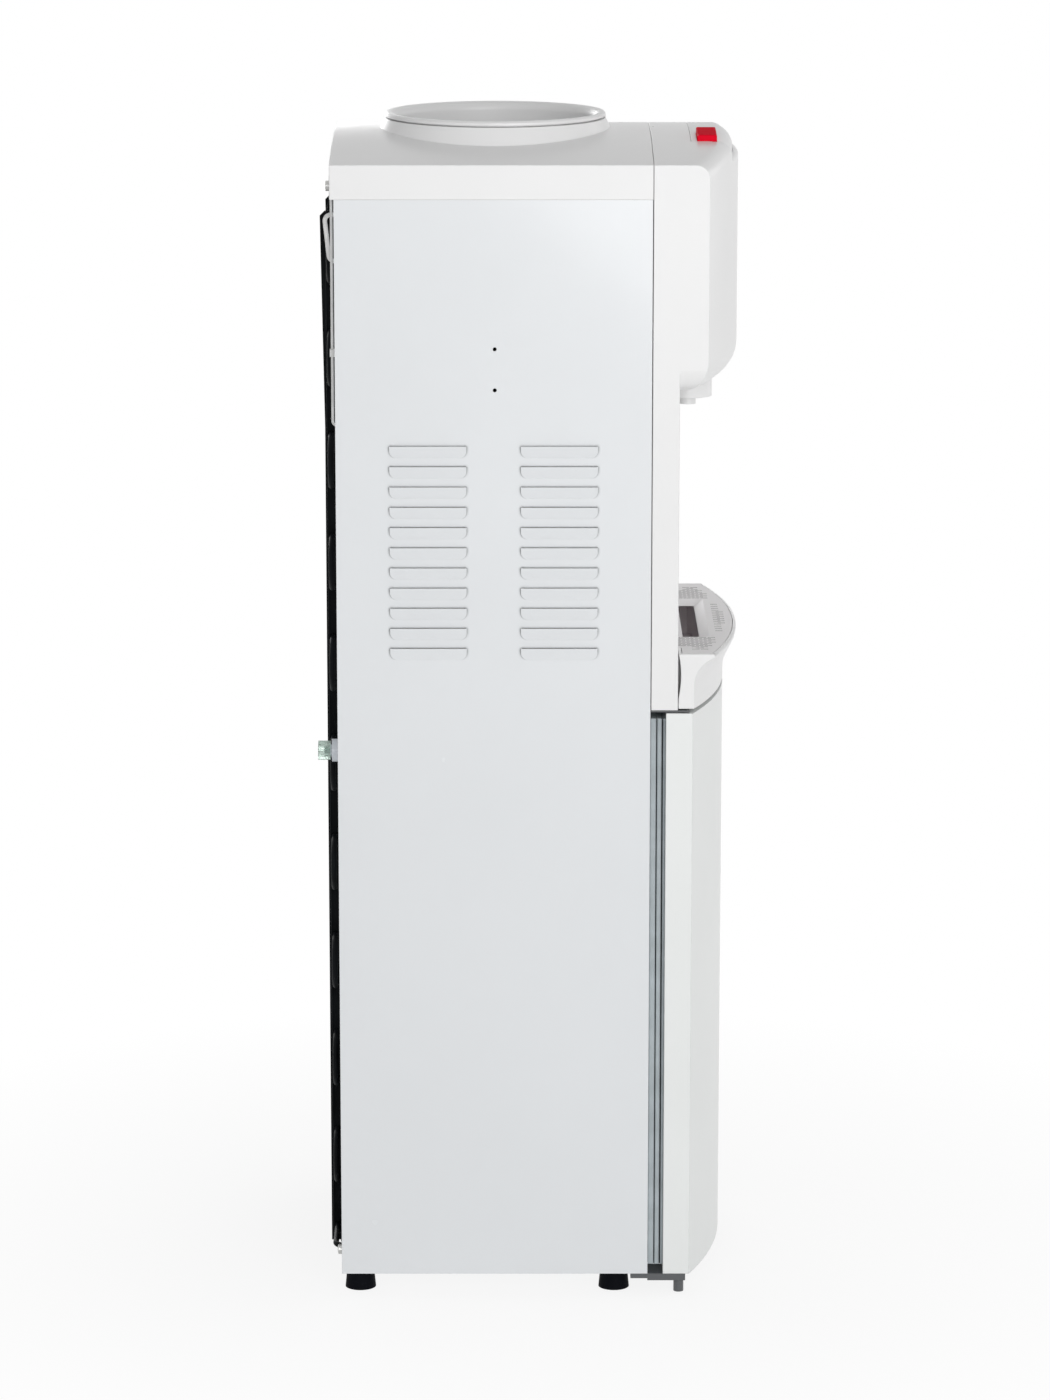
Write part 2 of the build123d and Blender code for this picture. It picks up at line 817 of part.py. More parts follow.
def button(side, proud):
    """Button cap with a lip that stops it under the panel, and the stem that works its tap."""
    x = side * button_spread
    stop = crown_level(button_spread + button_width / 2 + button_lip) - panel_wall - button_skirt
    low = stop - button_lip
    cap = block(*button_box(side, 0), low, crown_top + button_proud)
    cap &= Pos(0, 0, proud) * crowned_prism(0, fascia_back, head_front, head_bottom)
    rim = cap.faces().sort_by(Axis.Z)[-1].edges()
    cap = fillet(rim, button_draft)
    cap += block(*button_box(side, button_lip), low, stop)
    flange = tap_top + tap_spring_length
    cap += post(x, button_depth, tap_top - stem_entry, low, stem_radius)
    cap += post(x, button_depth, flange, flange + stem_flange_thickness, stem_flange_radius)
    return cap


def button_spring(side):
    """Return spring between a tap and the flange of its button's stem."""
    inner = stem_radius + clearance
    high = tap_top + tap_spring_length
    return collar(side * button_spread, button_depth, tap_top, high, inner + tap_spring_wire, inner)


def tap(side):
    """Valve body with its collar and spout below the head, inlet behind and a bore for the stem."""
    x = side * button_spread
    back = tap_depth - tap_radius
    front = button_depth + stem_radius + tap_front_wall
    sides = (x - tap_radius, x + tap_radius)
    body = block(*sides, back, tap_depth + tap_radius, tap_bottom, tap_top)
    body += block(*sides, tap_depth, front, tap_top - tap_bore_depth - tap_front_wall, tap_top)
    body += post(x, tap_depth, head_bottom - spout_length, tap_bottom, spout_radius)
    body += post(x, tap_depth, head_bottom - spout_collar_height, head_bottom, spout_collar_radius)
    inlet = tap_bottom + tap_inlet_rise
    body += stub(x, back - tap_inlet_length, back, inlet, hose_radius)
    body -= post(x, tap_depth, head_bottom - spout_length, inlet, spout_bore)
    body -= stub(x, back - tap_inlet_length, tap_depth, inlet, hose_bore)
    bore = stem_radius + hinge_running_gap
    return body - post(x, button_depth, tap_top - tap_bore_depth, tap_top, bore)


# Drip tray


def tray_well_sizes():
    """Half width, back, crease and front of the well that holds the pan."""
    span = half - cheek_width - seam - tray_wall
    crease = bow_depth(half, tray_crease, tray_front, span) - tray_wall
    return span, alcove_front + seam + tray_wall, crease, tray_front - tray_wall


def tray_outline(level):
    """Bowed outline of the housing at one level: upright at the foot, then flared like an S."""
    flare_bottom = tray_bottom + tray_foot_height
    flare = tray_height - tray_foot_height - tray_rim_height
    share = (level - flare_bottom) / flare
    ease = (1 - cos(pi * share ** tray_front_sweep)) / 2
    crease = tray_crease + share ** tray_side_sweep * rim_side_reach
    front = tray_front + ease * rim_front_reach
    return Pos(0, 0, level) * bowed_face(half, tray_back, crease, front)


def tray_rim():
    """Top of the housing, with its upper edge rounded along the sides and the front."""
    rim_bottom = tray_top - tray_rim_height
    rim = bowed_prism(half, tray_back, rim_crease, rim_front, rim_bottom, tray_top)
    upper = rim.edges().group_by(Axis.Z)[-1].sort_by(Axis.Y)
    return fillet(upper[:-1], rim_round)


def drip_tray_housing():
    """Housing in front of the alcove, flared up to its rim, with a well for the pan."""
    flare_bottom = tray_bottom + tray_foot_height
    rim_bottom = tray_top - tray_rim_height
    rise = (rim_bottom - flare_bottom) / tray_flare_steps
    housing = bowed_prism(half, tray_back, tray_crease, tray_front, tray_bottom, flare_bottom)
    levels = [flare_bottom + step * rise for step in range(tray_flare_steps + 1)]
    housing += loft([tray_outline(level) for level in levels])
    housing += tray_rim()
    reach = tray_relief_height / 2
    radius = (reach ** 2 + tray_relief ** 2) / (2 * tray_relief)
    housing -= rail(-half, half, tray_back + tray_relief - radius, tray_top - reach, radius)
    floor = fascia_bottom + fascia_wall + clearance
    tongue = half - cheek_width - seam
    housing += block(-tongue, tongue, alcove_front + seam, tray_back + 2 * tray_relief, floor, tray_top)
    span, back, crease, front = tray_well_sizes()
    housing -= bowed_prism(span, back, crease, front, floor + tray_wall, tray_top)
    recess = tray_top - grille_thickness - clearance
    for shape in grille_outlines(0.0):
        housing -= extrude(Pos(0, 0, recess) * shape, tray_top - recess, dir=(0, 0, 1))
    return housing


def drip_pan():
    """Lift-out pan under the grille."""
    span, back, crease, front = tray_well_sizes()
    low = fascia_bottom + fascia_wall + clearance + tray_wall + clearance
    high = tray_top - grille_thickness - 2 * clearance
    gap = pan_gap
    pan = bowed_prism(span - gap, back + gap, crease - gap, front - gap, low, high)
    gap = pan_gap + pan_wall
    return pan - bowed_prism(span - gap, back + gap, crease - gap, front - gap, low + pan_wall, high)


def grille_outlines(inset):
    """Front and rear plan outlines of the grille's seat, shrunk by the inset."""
    edge = grille_margin + inset
    span = half - edge
    crease = bow_depth(half, rim_crease, rim_front, span) - edge
    front = bowed_face(span, tray_back + edge, crease, rim_front - edge)
    tongue = half - cheek_width - seam - edge
    start = alcove_front + seam + edge
    stop = tray_back + 2 * edge
    rear = Pos(0, y_at((start + stop) / 2)) * Rectangle(2 * tongue, stop - start)
    return [front, rear]


def slot_places():
    """Staggered slots over the whole grille, apart from its border and its middle opening."""
    rows = int(half / slot_pitch_x)
    columns = int((rim_front - alcove_front) / slot_pitch_y)
    cup_back = cup_front_depth - cup_length
    places = []
    for row in range(-rows, rows + 1):
        x = row * slot_pitch_x
        reach = abs(x) + slot_width / 2
        tongue = reach < half - cheek_width - slot_border
        start = (alcove_front if tongue else tray_back) + slot_border
        for column in range(columns):
            depth = alcove_front + slot_border + slot_length / 2 + slot_pitch_y * (column + row % 2 / 2)
            if reach > half - slot_side_border or depth - slot_length / 2 < start:
                continue
            if depth + slot_length / 2 > bow_depth(half, rim_crease, rim_front, reach) - slot_border:
                continue
            beside = reach - slot_width > cup_half_width + cup_bevel + cup_wall
            behind = depth + slot_length < cup_back - cup_bevel
            ahead = depth - slot_length > cup_front_depth + cup_bevel
            if beside or behind or ahead:
                places.append((x, depth))
    return places


def cup_loft(grow):
    """Bevelled middle opening of the grille, from its foot up to the top."""
    back = cup_front_depth - cup_length
    middle = Pos(0, y_at((back + cup_front_depth) / 2))
    wide = 2 * (cup_half_width + grow)
    long = cup_length + 2 * grow
    foot = RectangleRounded(wide, long, cup_corner + grow)
    mouth = RectangleRounded(wide + 2 * cup_bevel, long + 2 * cup_bevel, 2 * cup_corner + grow)
    return loft([Pos(0, 0, tray_top - cup_drop) * middle * foot, Pos(0, 0, tray_top) * middle * mouth])


def drip_grille():
    """Lift-out grille with staggered slots and a sunk opening in the middle."""
    low = tray_top - grille_thickness
    front, rear = grille_outlines(grille_seam)
    plate = front + rear
    plate -= [Pos(x, y_at(depth)) * Rectangle(slot_width, slot_length) for x, depth in slot_places()]
    grille = extrude(Pos(0, 0, low) * plate, grille_thickness, dir=(0, 0, 1))
    return grille + cup_loft(cup_wall) - cup_loft(0.0)


# Door and hinges


def door_shape(inset, back):
    """Body of the door with a bowed front, shrunk by the inset."""
    span = half - inset
    crease = bow_depth(half, door_crease, door_front, span) - inset
    return bowed_prism(span, back, crease, door_front - inset, door_bottom + inset, door_top - inset)


def bush_posts(radius, gap=0.0):
    """Upright bars at the foot and the head of the door, on the hinge line."""
    length = hinge_pin_length + hinge_plate + gap
    return [
        post(hinge_x, hinge_depth, door_bottom, door_bottom + length, radius),
        post(hinge_x, hinge_depth, door_top - length, door_top, radius),
    ]


def door_skin():
    """Outer shell of the door, open behind."""
    skin = door_shape(0, door_back) - door_shape(door_wall, door_back - door_wall)
    return skin - bush_posts(hinge_bush_radius)


def door_liner():
    """Flat inner panel set into the back of the skin."""
    edge = door_wall + clearance
    back = (door_back, door_back + door_liner_wall)
    return block(-half + edge, half - edge, *back, door_bottom + edge, door_top - edge)


def door_insulation():
    """Foam between the skin and the inner panel."""
    foam = door_shape(door_wall + clearance, door_back + door_liner_wall + clearance)
    return foam - bush_posts(hinge_bush_radius + clearance, clearance)


def gasket_frame(inset, depth0, depth1):
    """Closed frame as deep as asked, its outer edge drawn in by the inset."""
    wide = half - gasket_inset - inset
    low = door_bottom + gasket_end_inset + inset
    high = door_top - gasket_end_inset - inset
    return block(-wide, wide, depth0, depth1, low, high)


def door_gasket():
    """Magnetic gasket on the inner panel, with two ribs and a groove beside each."""
    back = body_depth + gasket_gap
    frame = gasket_frame(0, back, door_back) - gasket_frame(gasket_width, back, door_back)
    rib = (gasket_thickness - 2 * gasket_groove) / 2
    for start in (back + rib, door_back - gasket_groove):
        stop = start + gasket_groove
        frame -= gasket_frame(0, start, stop) - gasket_frame(gasket_groove, start, stop)
    return frame


def hinge_bushes():
    """Sleeves in the door that turn on the hinge pins."""
    outer = bush_posts(hinge_bush_radius - weld_gap)
    inner = bush_posts(hinge_pin_radius + hinge_running_gap)
    return group([sleeve - bore for sleeve, bore in zip(outer, inner)])


def upper_hinge_bracket():
    """Thin plate under the deck, with the upper pin pointing down into the door."""
    low = deck_bottom - hinge_plate
    left = -inner_half
    plate = block(left, left + hinge_plate_width, hinge_plate_back, hinge_plate_front, low, deck_bottom)
    return plate + post(hinge_x, hinge_depth, door_top - hinge_pin_length, low, hinge_pin_radius)


def lower_hinge_bracket():
    """Stepped plate under the body's front edge, with the lower pin and its boss."""
    left = -inner_half
    right = left + hinge_plate_width
    top = door_bottom - clearance
    step = body_depth + seam
    plate = block(left, right, hinge_plate_back, step, body_bottom - lower_plate, body_bottom)
    plate += block(left, right, body_depth, hinge_plate_front, top - lower_front_plate, top)
    plate += post(hinge_x, hinge_depth, hinge_floor_gap, top, hinge_boss_radius)
    plate -= block(left, right, step, door_back, top, body_bottom)
    return plate + post(hinge_x, hinge_depth, top, door_bottom + hinge_pin_length, hinge_pin_radius)


def feet():
    """Four tapered feet, each with a stud through the base plate."""
    solids = []
    for x, depth in foot_places():
        foot = cone(x, depth, 0, foot_height, foot_bottom_radius, foot_top_radius)
        foot += post(x, depth, foot_height, foot_stud_top, foot_stud_radius)
        solids.append(foot)
    return group(solids)


# Refrigerated cabinet


def liner_shape(inset, front):
    """Cabinet space with a step over the machine space, shrunk by the inset."""
    span = inner_half - cabinet_foam - inset
    high = flange_top - cabinet_foam - inset
    upper_back = sheet + clearance + cabinet_foam + inset
    lower_back = machine_depth + sheet + cabinet_foam + inset
    step = machine_top + cabinet_foam + inset
    low = base_top + cabinet_foam + inset
    upper = block(-span, span, upper_back, front, step, high)
    return upper + block(-span, span, lower_back, front, low, high)


def shelf_level():
    """Level of the shelf's wires."""
    return machine_top + cabinet_foam + shelf_rise


def cabinet_liner():
    """Moulded lining with a front flange for the gasket and lugs for the shelf."""
    span = inner_half - cabinet_foam
    liner = liner_shape(0, body_depth)
    wide = half - panel_flange - clearance
    flange = (-wide, wide, body_depth - liner_flange, body_depth)
    liner += block(*flange, base_top + clearance, flange_top)
    liner -= liner_shape(liner_wall, body_depth)
    high = shelf_level() - shelf_wire
    back = sheet + clearance + cabinet_foam
    for side in (-1, 1):
        lug = sorted((side * (span - liner_wall), side * (span - liner_wall - shelf_lug)))
        liner += block(*lug, back, body_depth - panel_flange, high - shelf_lug, high)
    return liner


def cabinet_insulation():
    """Foam between the lining and the steel body."""
    span = inner_half - base_thickness - clearance
    front = body_depth - liner_flange - clearance
    foam = block(-span, span, sheet + clearance, front, base_top + clearance, flange_top - clearance)
    notch = machine_depth + sheet + clearance
    foam -= block(-half, half, 0, notch, base_top, machine_top + clearance)
    foam -= liner_shape(-weld_gap, body_depth)
    wide = pipe_slot / 2
    drain_foot = drain_height - pipe_slot
    slots = [(evaporator_port_x, machine_top), (capillary_x, machine_top), (drain_x, drain_foot)]
    for x, low in slots:
        foam -= block(x - wide, x + wide, 0, pipe_slot_depth, low, flange_top)
    for x, depth in foot_places():
        foam -= post(x, depth, base_top, foot_stud_top + clearance, foot_stud_radius + clearance)
    return foam


def wire_shelf():
    """Shelf of welded wires on the lining's lugs."""
    span = inner_half - cabinet_foam - liner_wall - shelf_gap - shelf_wire
    back = sheet + 2 * clearance + cabinet_foam + liner_wall + shelf_gap + shelf_wire
    front = body_depth - panel_flange - shelf_wire
    level = shelf_level()
    shelf = rail(-span, span, back, level, shelf_wire) + rail(-span, span, front, level, shelf_wire)
    pitch = 2 * (span - shelf_wire) / (shelf_wires - 1)
    wires = [-span + shelf_wire + index * pitch for index in range(shelf_wires)]
    return shelf + [stub(x, back, front, level, shelf_cross_wire) for x in wires]


# Cold side


def cold_tank():
    """Steel vessel under the bottle seat, with a front outlet and a bottom outlet."""
    level = cold_tank_bottom + hose_level
    front = well_depth + cold_tank_radius
    tank = post(0, well_depth, cold_tank_bottom, cold_tank_top, cold_tank_radius)
    tank += stub(0, well_depth, front + nipple_length, level, hose_radius)
    tank += post(0, well_depth, cold_tank_bottom - nipple_length, cold_tank_bottom, hose_radius)
    inner = cold_tank_radius - tank_wall
    tank -= post(0, well_depth, cold_tank_bottom + tank_wall, cold_tank_top - tank_wall, inner)
    tank -= post(0, well_depth, cold_tank_bottom - nipple_length, cold_tank_bottom + tank_wall, hose_bore)
    tank -= stub(0, well_depth, front + nipple_length, level, hose_bore)
    mouth = seat_throat_outer + clearance
    return tank - post(0, well_depth, cold_tank_top - tank_wall, cold_tank_top, mouth)


def evaporator():
    """Cooling winding round the cold tank, as its outer shape."""
    low = cold_tank_bottom + evaporator_rise
    inner = cold_tank_radius + clearance
    return collar(0, well_depth, low, low + evaporator_height, evaporator_radius, inner)


def cold_jacket():
    """Foam block round the cold tank, open at the top."""
    wide = jacket_half_width
    high = cold_tank_top - tank_wall
    jacket = block(-wide, wide, jacket_back, jacket_front, shelf_top, high)
    jacket -= post(0, well_depth, cold_tank_bottom, cold_tank_top, evaporator_radius + clearance)
    level = cold_tank_bottom + hose_level
    jacket -= stub(0, well_depth, jacket_front, level, hose_radius + seam)
    jacket -= post(0, well_depth, shelf_top, cold_tank_bottom, hose_radius + seam)
    port = cold_tank_bottom + evaporator_port_rise
    for x, radius in ((evaporator_port_x, pipe_radius), (-evaporator_port_x, capillary_radius)):
        jacket -= stub(x, jacket_back, well_depth, port, radius + seam)
    return jacket


# Hot side


def hot_ports():
    """Depths of the hot tank's inlet and outlet."""
    return hot_tank_depth - hose_port_spread, hot_tank_depth + hose_port_spread


def hot_tank():
    """Steel vessel with an inlet and an outlet on top and a drain at its foot."""
    low, high = hot_tank_bottom, hot_tank_top
    drain = hot_tank_bottom + drain_port_rise
    back = hot_tank_depth - hot_tank_radius - nipple_length
    tank = post(hot_tank_x, hot_tank_depth, low, high, hot_tank_radius)
    tank += stub(hot_tank_x, back, hot_tank_depth, drain, hose_radius)
    for depth in hot_ports():
        tank += post(hot_tank_x, depth, high, high + hose_port_length, hose_radius)
    inner = hot_tank_radius - tank_wall
    tank -= post(hot_tank_x, hot_tank_depth, low + tank_wall, high - tank_wall, inner)
    tank -= stub(hot_tank_x, back, hot_tank_depth, drain, hose_bore)
    for depth in hot_ports():
        tank -= post(hot_tank_x, depth, high - tank_wall, high + hose_port_length, hose_bore)
    return tank


def heater_band():
    """Electric heating band round the hot tank."""
    tall = hot_tank_top - hot_tank_bottom
    low = hot_tank_bottom + heater_rise_share * tall
    high = low + heater_height_share * tall
    inner = hot_tank_radius + clearance
    return collar(hot_tank_x, hot_tank_depth, low, high, inner + heater_thickness, inner)


def hot_jacket():
    """Insulating jacket that stands on the deck and holds the hot tank."""
    outer = hot_jacket_bore + hot_jacket_wall
    jacket = post(hot_tank_x, hot_tank_depth, deck_top, hot_tank_top, outer)
    jacket -= post(hot_tank_x, hot_tank_depth, hot_tank_bottom, hot_tank_top, hot_jacket_bore)
    drain = hot_tank_bottom + drain_port_rise
    return jacket - stub(hot_tank_x, hot_tank_depth - outer, hot_tank_depth, drain, hose_radius + seam)


def thermostats():
    """Two thermostats on the hot tank's top."""
    high = hot_tank_top + thermostat_height
    places = (hot_tank_x - thermostat_spread, hot_tank_x + thermostat_spread)
    return group([post(x, hot_tank_depth, hot_tank_top, high, thermostat_radius) for x in places])


# Hoses and pipes


def tap_inlet():
    """Depth and level where a hose meets a tap."""
    return tap_depth - tap_radius - tap_inlet_length, tap_bottom + tap_inlet_rise


def hot_hose():
    """Hose from the hot tank's outlet, round the shelf's front edge, to the hot tap."""
    depth, level = tap_inlet()
    port = hot_ports()[1]
    run = hot_tank_top + hose_run_rise
    points = [
        (hot_tank_x, port, hot_tank_top + hose_port_length),
        (hot_tank_x, port, run),
        (-button_spread, hose_front_depth, run),
        (-button_spread, hose_front_depth, level),
        (-button_spread, depth, level),
    ]
    return bent_tube(points, hose_radius, hose_bend, hose_bore)


def cold_hose():
    """Hose from the cold tank's front outlet to the cold tap."""
    depth, level = tap_inlet()
    outlet = cold_tank_bottom + hose_level
    points = [
        (0, well_depth + cold_tank_radius + nipple_length, outlet),
        (0, hose_front_depth, outlet),
        (button_spread, hose_front_depth, outlet),
        (button_spread, hose_front_depth, level),
        (button_spread, depth, level),
    ]
    return bent_tube(points, hose_radius, hose_bend, hose_bore)


def feed_hose():
    """Hose from the cold tank's bottom to the hot tank's inlet."""
    port = hot_ports()[0]
    run = hot_tank_top + hose_run_rise
    points = [
        (0, well_depth, cold_tank_bottom - nipple_length),
        (0, well_depth, run),
        (hot_tank_x, port, run),
        (hot_tank_x, port, hot_tank_top + hose_port_length),
    ]
    return bent_tube(points, hose_radius, hose_bend, hose_bore)


def drain_hose():
    """Hose from the hot tank's foot down to the drain outlet in the rear panel."""
    level = hot_tank_bottom + drain_port_rise
    points = [
        (hot_tank_x, hot_tank_depth - hot_tank_radius - nipple_length, level),
        (hot_tank_x, drain_turn_depth, level),
        (drain_x, pipe_depth, level),
        (drain_x, pipe_depth, drain_height),
        (drain_x, sheet, drain_height),
    ]
    return bent_tube(points, hose_radius, hose_bend, hose_bore)


def evaporator_port():
    """Depth and level where the pipes meet the evaporator."""
    back = well_depth - sqrt(evaporator_radius ** 2 - evaporator_port_x ** 2)
    return back - pipe_radius, cold_tank_bottom + evaporator_port_rise


def suction_line():
    """Pipe from the evaporator back to the compressor."""
    depth, level = evaporator_port()
    stub_level = compressor_bottom + suction_rise
    points = [
        (compressor_stub_end, compressor_depth, stub_level),
        (suction_x, compressor_depth, stub_level),
        (suction_x, pipe_depth, stub_level),
        (evaporator_port_x, pipe_depth, stub_level),
        (evaporator_port_x, pipe_depth, level),
        (evaporator_port_x, depth, level),
    ]
    return bent_tube(points, pipe_radius, pipe_bend)


def capillary_tube():
    """Fine tube from the drier up to the evaporator."""
    depth, level = evaporator_port()
    start = condenser_bottom + drier_rise + drier_length
    points = [
        (capillary_x, drier_depth, start - drier_rise),
        (capillary_x, drier_depth, start + drier_rise),
        (capillary_x, pipe_depth, start + 2 * drier_rise),
        (capillary_x, pipe_depth, level),
        (-evaporator_port_x, pipe_depth, level),
        (-evaporator_port_x, depth, level),
    ]
    return bent_tube(points, capillary_radius, pipe_bend)


def discharge_line():
    """Pipe from the compressor out behind the body and up to the condenser's head."""
    stub_level = compressor_bottom + discharge_rise
    points = [
        (compressor_stub_end, compressor_depth, stub_level),
        (discharge_x, compressor_depth, stub_level),
        (discharge_x, -condenser_set, stub_level),
        (discharge_x, -condenser_set, condenser_top),
        (run_right, -condenser_set, condenser_top),
    ]
    return bent_tube(points, condenser_tube_radius, pipe_bend)


# Compressor and condenser


def compressor():
    """Sealed compressor on its foot plate, with two pipe stubs."""
    low = compressor_bottom + compressor_plate
    can = post(0, compressor_depth, low, low + compressor_height, compressor_radius)
    can = fillet(can.edges().filter_by(GeomType.CIRCLE), compressor_dome)
    middle = low + compressor_height / 2
    seam_half = compressor_seam_height / 2
    seam_radius = compressor_radius + compressor_seam
    can += post(0, compressor_depth, middle - seam_half, middle + seam_half, seam_radius)
    plate_half = compressor_plate_length / 2
    can += block(
        -compressor_plate_half, compressor_plate_half,
        compressor_depth - plate_half, compressor_depth + plate_half, compressor_bottom, low,
    )
    end = compressor_stub_end
    can += rail(0, end, compressor_depth, compressor_bottom + suction_rise, pipe_radius)
    return can + rail(0, end, compressor_depth, compressor_bottom + discharge_rise, condenser_tube_radius)


def compressor_mounts():
    """Rubber posts under the corners of the compressor's foot plate."""
    x = compressor_plate_half - mount_inset
    reach = compressor_plate_length / 2 - mount_inset
    places = [(a, compressor_depth + b) for a in (-x, x) for b in (-reach, reach)]
    return group([post(a, depth, base_top, compressor_bottom, mount_radius) for a, depth in places])


def condenser_coil():
    """One tube bent to and fro behind the body, from its head down to its foot."""
    y = y_at(-condenser_set)
    bend = condenser_pitch / 2
    lines = []
    for run in range(condenser_runs):
        z = condenser_top - run * condenser_pitch
        start, stop = (run_right, run_left) if run % 2 == 0 else (run_left, run_right)
        lines.append(Line((start, y, z), (stop, y, z)))
        if run < condenser_runs - 1:
            out = stop - bend if run % 2 == 0 else stop + bend
            lines.append(ThreePointArc((stop, y, z), (out, y, z - bend), (stop, y, z - 2 * bend)))
    path = Wire(lines)
    start = Plane(origin=path @ 0, z_dir=path % 0)
    return sweep(start * Circle(condenser_tube_radius), path=path)


def wire_widths():
    """Widths at which the condenser's upright wires stand."""
    count = int((run_right - run_left) / condenser_wire_pitch) + 1
    first = (run_left + run_right - (count - 1) * condenser_wire_pitch) / 2
    return [first + index * condenser_wire_pitch for index in range(count)]


def condenser_wires():
    """Upright wires on both faces of the tube."""
    reach = condenser_tube_radius + condenser_wire_radius + weld_gap
    low = condenser_bottom - condenser_wire_margin
    high = condenser_top + condenser_wire_margin
    depths = (-condenser_set - reach, -condenser_set + reach)
    places = [(x, depth) for x in wire_widths() for depth in depths]
    return group([post(x, depth, low, high, condenser_wire_radius) for x, depth in places])


def run_levels():
    """Levels of the condenser's runs, from its foot up."""
    return [condenser_bottom + run * condenser_pitch for run in range(condenser_runs)]


def bracket_runs():
    """Levels of the runs that the brackets hold, the lowest and highest on the rear panel."""
    inside = [z for z in run_levels() if machine_top + bracket_height < z < body_top - bracket_height]
    return inside[0], inside[-1]


def condenser_strip(x):
    """Upright strip that the condenser's runs pass through, wider where it leans out at the head."""
    low = condenser_bottom - condenser_wire_margin
    high = condenser_top + condenser_wire_margin
    profile = Polyline(
        (y_at(-strip_inner), low),
        (y_at(-strip_outer), low),
        (y_at(-strip_outer), high - strip_lean),
        (y_at(-strip_head), high - strip_bevel),
        (y_at(-strip_head + strip_bevel), high),
        (y_at(-strip_inner), high),
        close=True,
    )
    return Pos(x, 0, 0) * extrude(Plane.YZ * make_face(profile), strip_thickness / 2, both=True)


def condenser_brackets():
    """Strips beside the condenser's outer wires, with feet on the rear panel."""
    widths = wire_widths()
    wide, tall = bracket_width / 2, bracket_height / 2
    seat = condenser_tube_radius + weld_gap
    solids = []
    for x in (widths[0] + condenser_wire_pitch / 2, widths[-1] - condenser_wire_pitch / 2):
        bracket = condenser_strip(x)
        for z in bracket_runs():
            bracket += block(x - wide, x + wide, -condenser_set, 0, z - tall, z + tall)
        bracket -= [rail(x - wide, x + wide, -condenser_set, z, seat) for z in run_levels()]
        solids.append(bracket)
    return group(solids)


def filter_drier():
    """Drier at the condenser's foot, with its inlet pipe and the capillary tube soldered in."""
    low = condenser_bottom + drier_rise
    points = [
        (run_left, -condenser_set, condenser_bottom),
        (capillary_x, -condenser_set, condenser_bottom),
        (capillary_x, drier_depth, condenser_bottom),
        (capillary_x, drier_depth, low),
    ]
    drier = bent_tube(points, condenser_tube_radius, pipe_bend)
    drier += post(capillary_x, drier_depth, low, low + drier_length, drier_radius)
    return drier + capillary_tube()


# Rear fittings


def drain_outlet():
    """Threaded neck through the rear panel, with its nut."""
    outlet = stub(drain_x, -drain_nut_thickness, 0, drain_height, drain_nut_radius)
    tip = drain_cap_reach - drain_cap_length / 2
    outlet += stub(drain_x, -tip, sheet, drain_height, drain_neck_radius)
    return outlet - stub(drain_x, -tip, sheet, drain_height, hose_bore)


def drain_cap():
    """Screw cap on the drain's neck."""
    mouth = drain_cap_reach - drain_cap_length
    cap = stub(drain_x, -drain_cap_reach, -mouth, drain_height, drain_cap_radius)
    depth = drain_cap_reach - drain_cap_length / 2 + drain_cap_gap
    return cap - stub(drain_x, -depth, -mouth, drain_height, drain_neck_radius + hinge_running_gap)


def rocker_widths():
    """Widths of the two rear rockers."""
    return switch_x - rocker_spread, switch_x + rocker_spread


def switch_housing():
    """Housing of the two rear rockers, set in the rear panel's window."""
    wide, tall = switch_half_width, switch_half_height
    z = switch_height
    housing = block(switch_x - wide, switch_x + wide, -switch_bezel, 0, z - tall, z + tall)
    wide, tall = wide - switch_bezel, tall - switch_bezel
    housing += block(switch_x - wide, switch_x + wide, 0, switch_body_depth, z - tall, z + tall)
    side = rocker_width / 2 + rocker_gap
    end = rocker_height / 2 + rocker_gap
    pin = side + rocker_pin_length
    for x in rocker_widths():
        housing -= block(x - side, x + side, -switch_bezel, rocker_pocket, z - end, z + end)
        housing -= rail(x - pin, x + pin, rocker_pivot, z, rocker_pin_radius + hinge_running_gap)
    return housing


def rocker(x):
    """Rocker with its two pins, tipped to off."""
    paddle = Box(rocker_width, rocker_thickness, rocker_height)
    place = Pos(x, y_at(rocker_pivot), switch_height) * Rot(rocker_tilt, 0, 0)
    pin = rocker_width / 2 + rocker_gap + rocker_pin_length / 2
    return place * paddle + rail(x - pin, x + pin, rocker_pivot, switch_height, rocker_pin_radius)


def cord_gland():
    """Grommet in the rear panel where a supply cord enters."""
    gland = stub(switch_x, -gland_flange, 0, gland_height, gland_radius)
    gland += stub(switch_x, 0, gland_length, gland_height, gland_neck)
    return gland - stub(switch_x, -gland_flange, gland_length, gland_height, gland_bore)


def rear_leads():
    """Thin lead down the back in its clip, and a loop beside the condenser's head."""
    inside = gland_length
    lead = [
        (lead_x, -lead_set, body_top),
        (lead_x, -lead_set, lead_foot),
        (lead_x, inside, lead_foot),
    ]
    loop = [
        (loop_x, inside, loop_top),
        (loop_x, -loop_reach, loop_top),
        (loop_x, -loop_foot_reach, loop_bottom),
        (loop_x, inside, loop_bottom),
    ]
    lead_tube = bent_tube(lead, lead_radius, lead_bend)
    return group([lead_tube, bent_tube(loop, loop_radius, loop_bend), lead_clip()])


def lead_clip():
    """Small clip that holds the lead to the rear panel."""
    wide = clip_size / 2
    out = lead_set + lead_radius + sheet
    clip = block(lead_x - wide, lead_x + wide, -out, 0, clip_height - wide, clip_height + wide)
    return clip - post(lead_x, -lead_set, clip_height - wide, clip_height + wide, lead_radius + weld_gap)


def screw(x, depth, z):
    """Pan-head screw driven forward, with its head behind the given depth."""
    head = stub(x, depth - screw_head_height, depth, z, screw_head_radius)
    return head + stub(x, depth, depth + screw_shank_length, z, screw_shank_radius)


